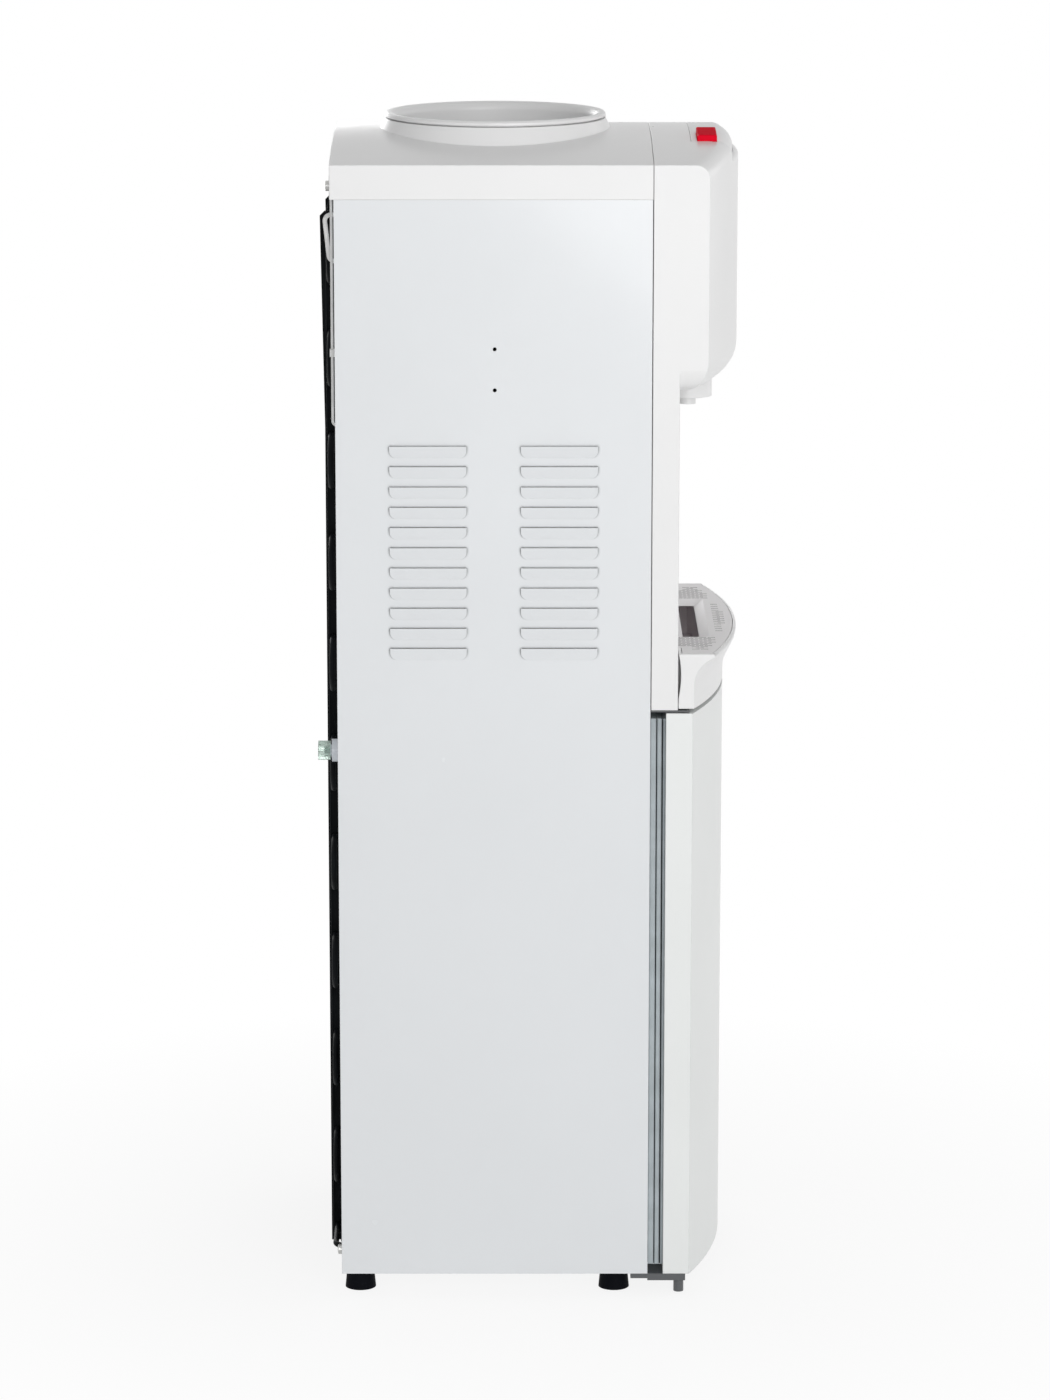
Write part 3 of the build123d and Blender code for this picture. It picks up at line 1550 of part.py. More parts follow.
def rear_screws():
    """Screws of the top cover's rear tabs and of the side panels' feet."""
    tab = half - cover_tab_inset
    tab_level = body_top + weld_gap + cover_tab_height
    side = half - screw_side_inset
    solids = []
    for edge in (-1, 1):
        solids.append(screw(edge * tab, -cover_overhang - sheet, tab_level))
        solids.append(screw(edge * side, 0, screw_level))
    return group(solids)


nodes = {
    "base_plate": base_plate(),
    "left_side_panel": left_side_panel(),
    "right_side_panel": side_panel(1),
    "rear_panel": rear_panel(),
    "machine_bulkhead": machine_bulkhead(),
    "tank_deck": tank_deck(),
    "tank_shelf": tank_shelf(),
    "top_cover": top_cover(),
    "bottle_seat": bottle_seat(),
    "bottle_probe": bottle_probe(),
    "seat_seal": seat_seal(),
    "front_fascia": front_fascia(),
    "control_panel": control_panel(),
    "hot_button": button(-1, button_proud),
    "cold_button": button(1, -clearance),
    "hot_button_spring": button_spring(-1),
    "cold_button_spring": button_spring(1),
    "hot_tap": tap(-1),
    "cold_tap": tap(1),
    "drip_tray_housing": drip_tray_housing(),
    "drip_pan": drip_pan(),
    "drip_grille": drip_grille(),
    "door_skin": door_skin(),
    "door_liner": door_liner(),
    "door_insulation": door_insulation(),
    "door_gasket": door_gasket(),
    "hinge_bushes": hinge_bushes(),
    "upper_hinge_bracket": upper_hinge_bracket(),
    "lower_hinge_bracket": lower_hinge_bracket(),
    "feet": feet(),
    "cabinet_liner": cabinet_liner(),
    "cabinet_insulation": cabinet_insulation(),
    "wire_shelf": wire_shelf(),
    "cold_tank": cold_tank(),
    "evaporator": evaporator(),
    "cold_jacket": cold_jacket(),
    "hot_tank": hot_tank(),
    "heater_band": heater_band(),
    "hot_jacket": hot_jacket(),
    "thermostats": thermostats(),
    "hot_hose": hot_hose(),
    "cold_hose": cold_hose(),
    "feed_hose": feed_hose(),
    "drain_hose": drain_hose(),
    "suction_line": suction_line(),
    "discharge_line": discharge_line(),
    "compressor": compressor(),
    "compressor_mounts": compressor_mounts(),
    "condenser_coil": condenser_coil(),
    "condenser_wires": condenser_wires(),
    "condenser_brackets": condenser_brackets(),
    "filter_drier": filter_drier(),
    "drain_outlet": drain_outlet(),
    "drain_cap": drain_cap(),
    "switch_housing": switch_housing(),
    "hot_switch": rocker(rocker_widths()[0]),
    "cold_switch": rocker(rocker_widths()[1]),
    "cord_gland": cord_gland(),
    "rear_leads": rear_leads(),
    "rear_screws": rear_screws(),
}

os.makedirs("parts", exist_ok=True)
for name, shape in nodes.items():
    export_step(shape, f"parts/{name}.step")
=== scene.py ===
"""Dresses the water cooler.

Gives its mouldings, painted steel and bare metal their finishes, makes its
small fittings and sets up a plain stage.
"""

import math

import bmesh
import bpy
from bpy.props import FloatProperty, FloatVectorProperty, IntProperty, PointerProperty
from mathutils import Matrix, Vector


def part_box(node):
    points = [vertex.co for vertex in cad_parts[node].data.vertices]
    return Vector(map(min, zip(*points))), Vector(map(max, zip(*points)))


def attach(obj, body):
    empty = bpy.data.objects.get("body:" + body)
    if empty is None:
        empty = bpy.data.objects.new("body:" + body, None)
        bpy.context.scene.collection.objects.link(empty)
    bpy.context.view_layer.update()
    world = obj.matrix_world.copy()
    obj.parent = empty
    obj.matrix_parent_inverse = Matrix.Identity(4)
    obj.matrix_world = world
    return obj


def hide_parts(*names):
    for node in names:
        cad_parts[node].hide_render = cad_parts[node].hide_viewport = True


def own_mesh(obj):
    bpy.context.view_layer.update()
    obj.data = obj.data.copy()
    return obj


bl_info = {
    "name": "Water cooler",
    "version": (1, 0, 0),
    "blender": (4, 5, 0),
    "location": "View3D > Sidebar > Cooler",
    "description": "Finishes, fittings and stage of a free-standing water cooler",
    "category": "Object",
}

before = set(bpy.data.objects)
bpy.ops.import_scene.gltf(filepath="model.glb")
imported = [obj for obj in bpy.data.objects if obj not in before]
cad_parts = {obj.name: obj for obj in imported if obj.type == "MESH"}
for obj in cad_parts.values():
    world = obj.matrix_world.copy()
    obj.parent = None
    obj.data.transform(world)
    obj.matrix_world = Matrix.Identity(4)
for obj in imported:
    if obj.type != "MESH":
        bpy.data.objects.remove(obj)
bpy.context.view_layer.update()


# Settings


def tone(name, text, default):
    """Colour that a user would change."""
    return FloatVectorProperty(
        name=name, description=text, default=default, size=3, subtype="COLOR", min=0, max=1,
    )


def length(name, text, default):
    """Size that a user would change, in metres."""
    return FloatProperty(
        name=name, description=text, default=default, unit="LENGTH", min=0, precision=5,
    )


def spot(name, text, default):
    """Place in the cooler's frame that a user would change, in metres."""
    return FloatVectorProperty(
        name=name, description=text, default=default, size=3, subtype="TRANSLATION", unit="LENGTH",
    )


def watts(name, text, default):
    """Power of a lamp that a user would change."""
    return FloatProperty(name=name, description=text, default=default, unit="POWER", min=0)


class CoolerFinishes(bpy.types.PropertyGroup):
    """Colours of the cooler's finishes."""

    body_paint: tone("Body paint", "Baked paint of the steel sides", (0.784, 0.804, 0.822))
    shell_white: tone("Shell white", "Mouldings of the top, front and door", (0.85, 0.85, 0.85))
    lining_white: tone("Lining white", "Vacuum-formed lining of the cabinet", (0.8, 0.81, 0.81))
    grille_grey: tone("Grille grey", "Lift-out drip grille", (0.84, 0.825, 0.83))
    pan_grey: tone("Pan grey", "Pan below the grille", (0.84, 0.79, 0.805))
    hot_red: tone("Hot red", "Button of the hot tap", (0.8, 0.006, 0.026))
    gasket_grey: tone("Gasket grey", "Soft magnetic door gasket", (0.44, 0.485, 0.505))
    hinge_grey: tone("Hinge grey", "Painted hinge brackets", (0.08, 0.085, 0.09))
    condenser_black: tone(
        "Condenser black", "Enamel of the condenser and compressor", (0.005, 0.006, 0.007),
    )
    foot_black: tone("Foot black", "Rubber of the feet and buffers", (0.0045, 0.005, 0.007))
    cap_green: tone("Cap green", "Clear cap of the drain", (0.6, 0.72, 0.655))


class CoolerFittings(bpy.types.PropertyGroup):
    """Sizes of the small fittings."""

    screw_height: length("Screw height", "Height of a screw head", 0.0038)
    screw_dome: length("Screw dome", "Height of a screw head's rounded crown", 0.0016)
    screw_cross: length("Screw cross", "Length of the cross recess in a screw head", 0.0046)
    cap_ribs: IntProperty(
        name="Cap ribs", description="Grip ribs round the drain cap", default=24, min=6, max=60,
    )
    cap_rib_depth: length("Cap rib depth", "Height of a grip rib", 0.0006)
    spring_wire: length("Spring wire", "Thickness of a button spring's wire", 0.0011)
    spring_turns: FloatProperty(
        name="Spring turns", description="Turns of a button spring", default=7.0, min=2, max=20,
    )


class CoolerStage(bpy.types.PropertyGroup):
    """Camera and light."""

    camera_away: length("Camera distance", "From the camera to the cooler's left side", 4.0)
    camera_rise: length("Camera height", "Height of the camera over the floor", 1.38)
    camera_back: length("Camera offset", "From the frame's middle back to the camera", 0.0062)
    aim_rise: length("Aim height", "Height of the point that the camera looks at", 0.515)
    aim_back: length("Aim offset", "From the frame's middle back to that point", 0.0036)
    camera_lens: FloatProperty(
        name="Lens", description="Focal length", default=127.8, unit="CAMERA", min=10,
    )
    key_power: watts("Key", "Power of the large lamp beside the camera", 63.5)
    key_place: spot("Key place", "Middle of that lamp", (-3.4, -0.9, 1.35))
    key_size: length("Key size", "Width of that lamp", 2.6)
    front_power: watts("Front", "Power of the lamp at the front right", 13.5)
    front_place: spot("Front place", "Middle of that lamp", (1.7, -3.0, 1.1))
    front_size: length("Front size", "Width of that lamp", 2.2)
    fill_power: watts("Fill", "Power of the lamp beside the right side", 42.0)
    fill_place: spot("Fill place", "Middle of that lamp", (3.3, 1.2, 0.75))
    fill_size: length("Fill size", "Width of that lamp", 2.4)
    sky: FloatProperty(
        name="Sky", description="Strength of the even light all round", default=0.38, min=0, max=1,
    )


# Node building


def feed(tree, socket, value):
    """Gives an input a value, or links another socket to it."""
    if isinstance(value, bpy.types.NodeSocket):
        tree.links.new(value, socket)
    else:
        socket.default_value = value


def add(tree, kind, **inputs):
    """Adds a node, with values or sockets for its inputs, given by name."""
    made = tree.nodes.new(kind)
    for name, value in inputs.items():
        feed(tree, made.inputs[name.replace("_", " ")], value)
    return made


def maths(tree, operation, *values):
    """Result of a Math node on values or sockets."""
    made = tree.nodes.new("ShaderNodeMath")
    made.operation = operation
    for socket, value in zip(made.inputs, values):
        feed(tree, socket, value)
    return made.outputs[0]


def object_place(tree):
    """Coordinates of the piece itself."""
    return add(tree, "ShaderNodeTexCoord").outputs["Object"]


def object_noise(tree, scale, detail, stretch=None):
    """Noise over the piece's own coordinates, stretched along its grain where one is given."""
    place = object_place(tree)
    if stretch:
        place = add(tree, "ShaderNodeMapping", Vector=place, Scale=stretch).outputs["Vector"]
    noise = add(tree, "ShaderNodeTexNoise", Vector=place, Scale=scale, Detail=detail)
    return noise.outputs["Fac"]


def object_cells(tree, scale):
    """Outputs of a pattern of cells over the piece's own coordinates."""
    return add(tree, "ShaderNodeTexVoronoi", Vector=object_place(tree), Scale=scale).outputs


def start_finish(name, **values):
    """New material with its shader, and constant values on the shader's own sockets."""
    made = bpy.data.materials.new(name)
    made.use_nodes = True
    shader = made.node_tree.nodes["Principled BSDF"]
    for socket, value in values.items():
        shader.inputs[socket.replace("_", " ")].default_value = value
    return made, made.node_tree, shader


def shade_colour(tree, shader, source, colours, stops=(0.3, 0.7)):
    """Colour that drifts between two shades with a pattern."""
    ramp = add(tree, "ShaderNodeValToRGB", Fac=source)
    for element, stop, colour in zip(ramp.color_ramp.elements, stops, colours):
        element.position = stop
        element.color = (*colour, 1)
    tree.links.new(ramp.outputs["Color"], shader.inputs["Base Color"])


def vary_roughness(tree, shader, source, low, high):
    """Roughness that follows a pattern between two values."""
    spread = add(tree, "ShaderNodeMapRange", Value=source, To_Min=low, To_Max=high)
    tree.links.new(spread.outputs["Result"], shader.inputs["Roughness"])


def raise_grain(tree, shader, source, depth, edge=0.0):
    """Fine relief from a pattern, over edges that are rounded by the given radius."""
    bump = add(tree, "ShaderNodeBump", Height=source, Strength=0.6, Distance=depth)
    if edge:
        soft = add(tree, "ShaderNodeBevel", Radius=edge)
        soft.samples = 4
        tree.links.new(soft.outputs["Normal"], bump.inputs["Normal"])
    tree.links.new(bump.outputs["Normal"], shader.inputs["Normal"])


def paint_recess_shade(tree, shader, reach, share):
    """Painted shade: the tone scaled down to a share by ambient occlusion in slots, grooves and
    corners narrower than the reach.
    """
    tint = shader.inputs["Base Color"].links[0].from_socket
    # Ambient occlusion marks where the shade is painted into the colour
    hollow = add(tree, "ShaderNodeAmbientOcclusion", Distance=reach)
    hollow.samples = 8
    hollow.only_local = True
    closed, clear = 0.3, 0.95
    level = add(
        tree, "ShaderNodeMapRange", Value=hollow.outputs["AO"],
        From_Min=closed, From_Max=clear, To_Min=share, To_Max=1.0,
    )
    scale = tree.nodes.new("ShaderNodeVectorMath")
    scale.operation = "SCALE"
    tree.links.new(tint, scale.inputs[0])
    tree.links.new(level.outputs["Result"], scale.inputs["Scale"])
    tree.links.new(scale.outputs[0], shader.inputs["Base Color"])


def lighter(colour, share):
    """Same hue, lighter or darker by a share."""
    return tuple(min(1.0, part * (1 + share)) for part in colour)


# Finishes


def moulded(name, colour, roughness, drift=0.012, edge=0.0008, recess=0.0, **values):
    """Injection moulding: a faint drift of colour, a fine skin, and painted shade in recesses where
    asked.
    """
    made, tree, shader = start_finish(name, **values)
    flow = object_noise(tree, scale=7, detail=2)
    shade_colour(tree, shader, flow, (lighter(colour, -drift), lighter(colour, drift)))
    # Painted shade in recesses, from ambient occlusion
    if recess:
        paint_recess_shade(tree, shader, reach=recess, share=0.3)
    sheen = object_noise(tree, scale=55, detail=3)
    vary_roughness(tree, shader, sheen, low=roughness - 0.05, high=roughness + 0.05)
    skin = object_noise(tree, scale=900, detail=2)
    raise_grain(tree, shader, skin, depth=0.00002, edge=edge)
    return made


def baked_paint(name, colour, roughness, recess=0.0):
    """Paint baked on sheet steel: orange peel, broad faint clouds and painted shade in slots where
    asked.
    """
    made, tree, shader = start_finish(name, Coat_Weight=0.4, Coat_Roughness=0.08)
    clouds = object_noise(tree, scale=3.2, detail=3)
    shade_colour(tree, shader, clouds, (lighter(colour, -0.018), lighter(colour, 0.018)))
    # Painted shade in slots, from ambient occlusion
    if recess:
        paint_recess_shade(tree, shader, reach=recess, share=0.15)
    sheen = object_noise(tree, scale=40, detail=2)
    vary_roughness(tree, shader, sheen, low=roughness - 0.06, high=roughness + 0.06)
    peel = object_noise(tree, scale=420, detail=1.5)
    raise_grain(tree, shader, peel, depth=0.00004, edge=0.0005)
    return made


def enamel(name, colour):
    """Black dip enamel over tube and wire, a little uneven."""
    made, tree, shader = start_finish(name, Specular_IOR_Level=0.06)
    dust = object_noise(tree, scale=38, detail=5)
    shade_colour(tree, shader, dust, (colour, lighter(colour, 1.6)), stops=(0.45, 0.85))
    vary_roughness(tree, shader, dust, low=0.4, high=0.65)
    runs = object_noise(tree, scale=700, detail=2)
    raise_grain(tree, shader, runs, depth=0.00005, edge=0.0004)
    return made


def zinc_sheet(name):
    """Galvanised sheet with its spangle."""
    made, tree, shader = start_finish(name, Metallic=1.0)
    crystals = object_cells(tree, scale=230.0)["Color"]
    spangle = add(tree, "ShaderNodeSeparateColor", Color=crystals).outputs
    shade_colour(tree, shader, spangle["Red"], ((0.5, 0.51, 0.52), (0.6, 0.61, 0.62)))
    vary_roughness(tree, shader, spangle["Green"], low=0.32, high=0.5)
    skin = object_noise(tree, scale=500, detail=2)
    raise_grain(tree, shader, skin, depth=0.00002, edge=0.0004)
    return made


def rolled_metal(name, colour, roughness, stretch=(1, 1, 18)):
    """Metal with the fine lines of rolling or drawing."""
    made, tree, shader = start_finish(name, Metallic=1.0, Anisotropic=0.35)
    lines = object_noise(tree, scale=120, detail=4, stretch=stretch)
    shade_colour(tree, shader, lines, (lighter(colour, -0.12), lighter(colour, 0.1)))
    vary_roughness(tree, shader, lines, low=roughness - 0.08, high=roughness + 0.08)
    raise_grain(tree, shader, lines, depth=0.00002, edge=0.0003)
    return made


def rubber(name, colour, roughness, edge=0.0006, recess=0.0):
    """Moulded rubber with a dull, slightly dusty skin and painted shade in grooves where asked."""
    made, tree, shader = start_finish(name, Specular_IOR_Level=0.03)
    dust = object_noise(tree, scale=60, detail=5)
    shade_colour(tree, shader, dust, (lighter(colour, -0.08), lighter(colour, 0.12)))
    # Painted shade in grooves, from ambient occlusion
    if recess:
        paint_recess_shade(tree, shader, reach=recess, share=0.25)
    vary_roughness(tree, shader, dust, low=roughness - 0.1, high=roughness + 0.1)
    skin = object_noise(tree, scale=800, detail=3)
    raise_grain(tree, shader, skin, depth=0.00006, edge=edge)
    return made


def foam(name, colour):
    """Rigid foam with fine cells."""
    made, tree, shader = start_finish(name, Specular_IOR_Level=0.2)
    cells = object_cells(tree, scale=420.0)["Distance"]
    shade_colour(tree, shader, cells, (lighter(colour, -0.15), colour), stops=(0.1, 0.6))
    vary_roughness(tree, shader, object_noise(tree, scale=25, detail=2), low=0.85, high=0.95)
    raise_grain(tree, shader, cells, depth=0.0006)
    return made


def clear_moulding(name, colour, clear=0.45):
    """Milky moulding that lets some light through."""
    made, tree, shader = start_finish(name, Transmission_Weight=clear, IOR=1.49)
    milk = object_noise(tree, scale=90, detail=2)
    shade_colour(tree, shader, milk, (lighter(colour, -0.04), colour))
    vary_roughness(tree, shader, object_noise(tree, scale=120, detail=2), low=0.25, high=0.4)
    raise_grain(tree, shader, object_noise(tree, scale=700, detail=2), depth=0.00003)
    return made


def dress(finish, *names):
    """Puts a finish on CAD nodes."""
    for name in names:
        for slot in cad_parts[name].material_slots:
            slot.material = finish


# Pieces


def place_piece(name, mesh, body, node):
    """Puts a finished mesh in the scene in place of a CAD node."""
    piece = bpy.data.objects.new(name, mesh)
    bpy.context.scene.collection.objects.link(piece)
    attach(piece, body)
    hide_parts(node)
    return piece


def finished_mesh(name, shape, finish):
    """Mesh of a shape, with its finish."""
    mesh = bpy.data.meshes.new(name)
    shape.to_mesh(mesh)
    shape.free()
    mesh.materials.append(finish)
    return mesh


def smooth(mesh, angle=40):
    """Smooth shading, with creases steeper than an angle kept sharp."""
    mesh.shade_smooth()
    mesh.set_sharp_from_angle(angle=math.radians(angle))
    return mesh


# Geometry trees


def start_tree(name, **inputs):
    """Geometry tree with named inputs: a float is a size, a whole number is a count."""
    tree = bpy.data.node_groups.new(name, "GeometryNodeTree")
    tree.interface.new_socket("Geometry", in_out="INPUT", socket_type="NodeSocketGeometry")
    for label, value in inputs.items():
        kind = "NodeSocketInt" if isinstance(value, int) else "NodeSocketFloat"
        title = label.replace("_", " ")
        socket = tree.interface.new_socket(title, in_out="INPUT", socket_type=kind)
        socket.default_value = value
    tree.interface.new_socket("Geometry", in_out="OUTPUT", socket_type="NodeSocketGeometry")
    return tree, tree.nodes.new("NodeGroupInput").outputs


def end_tree(tree, points, shape, finish, turn=(0, 0, 0)):
    """Copies a shape onto the points and ends its tree in real faces with their finish."""
    copies = add(tree, "GeometryNodeInstanceOnPoints", Points=points, Instance=shape, Rotation=turn)
    real = add(tree, "GeometryNodeRealizeInstances", Geometry=copies.outputs["Instances"])
    coat = add(tree, "GeometryNodeSetMaterial", Geometry=real.outputs["Geometry"], Material=finish)
    add(tree, "NodeGroupOutput", Geometry=coat.outputs["Geometry"])
    return tree


def run_tree(tree, points, **inputs):
    """Runs a geometry tree on a few points and gives a plain mesh."""
    seed = bpy.data.meshes.new(tree.name)
    seed.from_pydata(points, [], [])
    holder = bpy.data.objects.new(tree.name, seed)
    bpy.context.scene.collection.objects.link(holder)
    modifier = holder.modifiers.new(tree.name, "NODES")
    modifier.node_group = tree
    for item in tree.interface.items_tree:
        label = item.name.replace(" ", "_")
        if item.in_out == "INPUT" and label in inputs:
            modifier[item.identifier] = inputs[label]
    graph = bpy.context.evaluated_depsgraph_get()
    mesh = bpy.data.meshes.new_from_object(holder.evaluated_get(graph), depsgraph=graph)
    holder.modifiers.clear()
    bpy.data.objects.remove(holder)
    bpy.data.meshes.remove(seed)
    return mesh


def vector(tree, **parts):
    """Vector of given parts, with zero for the rest."""
    return add(tree, "ShaderNodeCombineXYZ", **parts).outputs["Vector"]


def moved(tree, shape, **change):
    """Shape after a move or a turn."""
    return add(tree, "GeometryNodeTransform", Geometry=shape, **change).outputs["Geometry"]


def boolean(tree, operation, *shapes):
    """Exact boolean of shapes: a difference cuts the others out of the first."""
    made = tree.nodes.new("GeometryNodeMeshBoolean")
    made.operation = operation
    made.solver = "EXACT"
    for order, shape in enumerate(shapes):
        whole = operation == "DIFFERENCE" and order == 0
        tree.links.new(shape, made.inputs["Mesh 1" if whole else "Mesh 2"])
    return made.outputs["Mesh"]


def swept(tree, path, profile):
    """Closed mesh of a profile drawn along a path."""
    made = add(
        tree, "GeometryNodeCurveToMesh", Curve=path.outputs["Curve"],
        Profile_Curve=profile.outputs["Curve"], Fill_Caps=True,
    )
    return made.outputs["Mesh"]


# Fittings


def screw_tree(finish):
    """Pan-head screws with a cross recess, one on each point, heads towards +Y."""
    tree, given = start_tree(
        "Screw heads", Radius=0.0042, Height=0.0038, Dome=0.0016, Cross=0.0046, Slot=0.0009,
    )
    radius, height = given["Radius"], given["Height"]
    sunk_and_proud = 2.2  # heights, half of them below the point
    depth = maths(tree, "MULTIPLY", height, sunk_and_proud)
    body = add(tree, "GeometryNodeMeshCylinder", Vertices=40, Radius=radius, Depth=depth)
    square = maths(tree, "MULTIPLY", radius, radius)
    reach = maths(tree, "DIVIDE", square, given["Dome"])
    ball = add(tree, "GeometryNodeMeshUVSphere", Segments=40, Rings=40, Radius=reach)
    drop = maths(tree, "SUBTRACT", height, reach)
    crown = moved(tree, ball.outputs["Mesh"], Translation=vector(tree, Z=drop))
    head = boolean(tree, "INTERSECT", body.outputs["Mesh"], crown)
    bars = []
    for along, across in (("Cross", "Slot"), ("Slot", "Cross")):
        size = vector(tree, X=given[along], Y=given[across], Z=height)
        bar = add(tree, "GeometryNodeMeshCube", Size=size)
        bars.append(moved(tree, bar.outputs["Mesh"], Translation=vector(tree, Z=height)))
    cut = boolean(tree, "DIFFERENCE", head, *bars)
    clean = add(tree, "GeometryNodeMergeByDistance", Geometry=cut, Distance=0.000005)
    facing_back = (-math.pi / 2, 0, 0)
    return end_tree(tree, given["Geometry"], clean.outputs["Geometry"], finish, facing_back)


def cap_tree(finish):
    """Ribbed screw cap on each point, with its mouth towards -Y and a rounded end."""
    tree, given = start_tree(
        "Drain cap", Radius=0.008, Length=0.0101, Ribs=24, Rib_depth=0.0006, Bore=0.00506,
    )
    radius, reach = given["Radius"], given["Length"]
    line = add(tree, "GeometryNodeCurvePrimitiveLine", End=vector(tree, Y=reach))
    divided = add(tree, "GeometryNodeResampleCurve", Curve=line.outputs["Curve"], Count=14)
    along = add(tree, "GeometryNodeSplineParameter").outputs["Factor"]
    outline = add(tree, "ShaderNodeFloatCurve", Value=along)
    # Way along the cap, and share of its radius there
    ends = ((0, 0.97), (1, 0.68))
    between = ((0.12, 1.0), (0.55, 0.97), (0.86, 0.86))
    points = outline.mapping.curves[0].points
    for point, place in zip(points, ends):
        point.location = place
    for place in between:
        points.new(*place)
    path = add(
        tree, "GeometryNodeSetCurveRadius", Curve=divided.outputs["Curve"],
        Radius=outline.outputs["Value"],
    )
    root = maths(tree, "SUBTRACT", radius, given["Rib depth"])
    star = add(
        tree, "GeometryNodeCurveStar", Points=given["Ribs"], Inner_Radius=root, Outer_Radius=radius,
    )
    bore = add(tree, "GeometryNodeMeshCylinder", Vertices=32, Radius=given["Bore"], Depth=reach)
    mouth = moved(tree, bore.outputs["Mesh"], Rotation=(math.pi / 2, 0, 0))
    hollow = boolean(tree, "DIFFERENCE", swept(tree, path, star), mouth)
    return end_tree(tree, given["Geometry"], hollow, finish)


def spring_tree(finish):
    """Wound spring that stands on each point."""
    tree, given = start_tree("Button spring", Radius=0.0045, Height=0.0189, Wire=0.0011, Turns=7.0)
    coil = add(
        tree, "GeometryNodeCurveSpiral", Resolution=20, Rotations=given["Turns"],
        Height=given["Height"], Start_Radius=given["Radius"], End_Radius=given["Radius"],
    )
    half = maths(tree, "MULTIPLY", given["Wire"], 0.5)
    ring = add(tree, "GeometryNodeCurvePrimitiveCircle", Resolution=10, Radius=half)
    return end_tree(tree, given["Geometry"], swept(tree, coil, ring), finish)


def rounded_rib(start, stop, crown, facets=6):
    """Outline of one rounded rib of the gasket, as inset and distance from the cabinet."""
    middle, reach = (start + stop) / 2, (stop - start) / 2
    turns = [math.pi * (facet / facets - 0.5) for facet in range(facets + 1)]
    return [(crown * (1 - math.cos(turn)), middle + reach * math.sin(turn)) for turn in turns]


def gasket_mesh(finish):
    """Bellows gasket as a frame with rounded ribs, whose grooves run out at its corners."""
    low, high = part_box("door_gasket")
    thick = high.y - low.y
    width, groove, crown = 0.014, 0.0075, 0.0009
    ribs = ((0.0, 0.38), (0.44, 0.745), (0.825, 1.0))  # shares of the thickness
    shallow = 0.04  # share of a groove's depth that is left at the corners
    run_out = 0.003  # distance from a corner at which a groove has its full depth
    outer = []
    for start, stop in ribs:
        rib = rounded_rib(start * thick, stop * thick, crown)
        outer += [(groove, start * thick), *rib, (groove, stop * thick)]
    outline = outer[1:-1] + [(width, thick), (width, 0.0)]
    shape = bmesh.new()
    rings = []
    for inset, away in outline:
        rise = inset if inset == width else shallow * inset
        left, right = low.x + inset, high.x - inset
        left_end, right_end = low.x + rise, high.x - rise
        foot, head = low.z + rise, high.z - rise
        corners = (
            (left_end, foot), (right_end, foot), (right, foot + run_out), (right, head - run_out),
            (right_end, head), (left_end, head), (left, head - run_out), (left, foot + run_out),
        )
        rings.append([shape.verts.new((x, high.y - away, z)) for x, z in corners])
    for ring, after in zip(rings, rings[1:] + rings[:1]):
        for corner in range(len(ring)):
            follow = (corner + 1) % len(ring)
            shape.faces.new((ring[corner], ring[follow], after[follow], after[corner]))
    bmesh.ops.remove_doubles(shape, verts=shape.verts, dist=1e-6)
    bmesh.ops.recalc_face_normals(shape, faces=shape.faces)
    return smooth(finished_mesh("door_gasket_bellows", shape, finish), angle=50)


# Operators


class COOLER_OT_steel_body(bpy.types.Operator):
    """Painted side panels, bare inner sheets and rubber feet."""

    bl_idname = "cooler.steel_body"
    bl_label = "Steel body"

    def execute(self, context):
        tones = context.scene.cooler_finishes
        # The recess reach paints shade into the louvre slits
        paint = baked_paint("body_paint", tones.body_paint, roughness=0.24, recess=0.0025)
        dress(paint, "left_side_panel", "right_side_panel")
        inner = ("base_plate", "rear_panel", "machine_bulkhead", "tank_deck", "tank_shelf")
        dress(zinc_sheet("zinc_sheet"), *inner)
        black = rubber("foot_rubber", tones.foot_black, roughness=0.55, edge=0.0012)
        dress(black, "feet", "compressor_mounts", "cord_gland")
        return {"FINISHED"}


class COOLER_OT_mouldings(bpy.types.Operator):
    """White mouldings of the top and the front, and the seal below the bottle seat."""

    bl_idname = "cooler.mouldings"
    bl_label = "Mouldings"

    def execute(self, context):
        white = context.scene.cooler_finishes.shell_white
        shell = moulded("shell_white", white, roughness=0.3, edge=0.0012)
        dress(shell, "top_cover", "front_fascia", "drip_tray_housing")
        seat = moulded("seat_white", lighter(white, -0.02), roughness=0.34, edge=0.001)
        dress(seat, "bottle_seat", "bottle_probe")
        dress(moulded("panel_white", white, roughness=0.36, edge=0.0006), "control_panel")
        dress(rubber("seal_ring", (0.7, 0.7, 0.68), roughness=0.5), "seat_seal")
        return {"FINISHED"}


class COOLER_OT_controls(bpy.types.Operator):
    """Buttons, their springs and the taps."""

    bl_idname = "cooler.controls"
    bl_label = "Controls"

    def execute(self, context):
        tones = context.scene.cooler_finishes
        sizes = context.scene.cooler_fittings
        white = tones.shell_white
        red = moulded(
            "hot_red", tones.hot_red, roughness=0.5, drift=0.03, edge=0.0009,
            Specular_IOR_Level=0.004,
        )
        dress(red, "hot_button")
        dress(moulded("cold_white", lighter(white, -0.05), roughness=0.24), "cold_button")
        dress(moulded("tap_white", lighter(white, -0.03), roughness=0.34), "hot_tap", "cold_tap")
        tree = spring_tree(rolled_metal("spring_steel", (0.5, 0.51, 0.52), roughness=0.3))
        wire = sizes.spring_wire
        for side in ("hot", "cold"):
            node = f"{side}_button_spring"
            low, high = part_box(node)
            x, y = (low.x + high.x) / 2, (low.y + high.y) / 2
            mesh = run_tree(
                tree, [(x, y, low.z + wire / 2)], Radius=(high.x - low.x - wire) / 2,
                Height=high.z - low.z - wire, Wire=wire, Turns=sizes.spring_turns,
            )
            spring = place_piece(f"{side}_button_coil", smooth(mesh), "cabinet", node)
            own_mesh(spring)
        return {"FINISHED"}


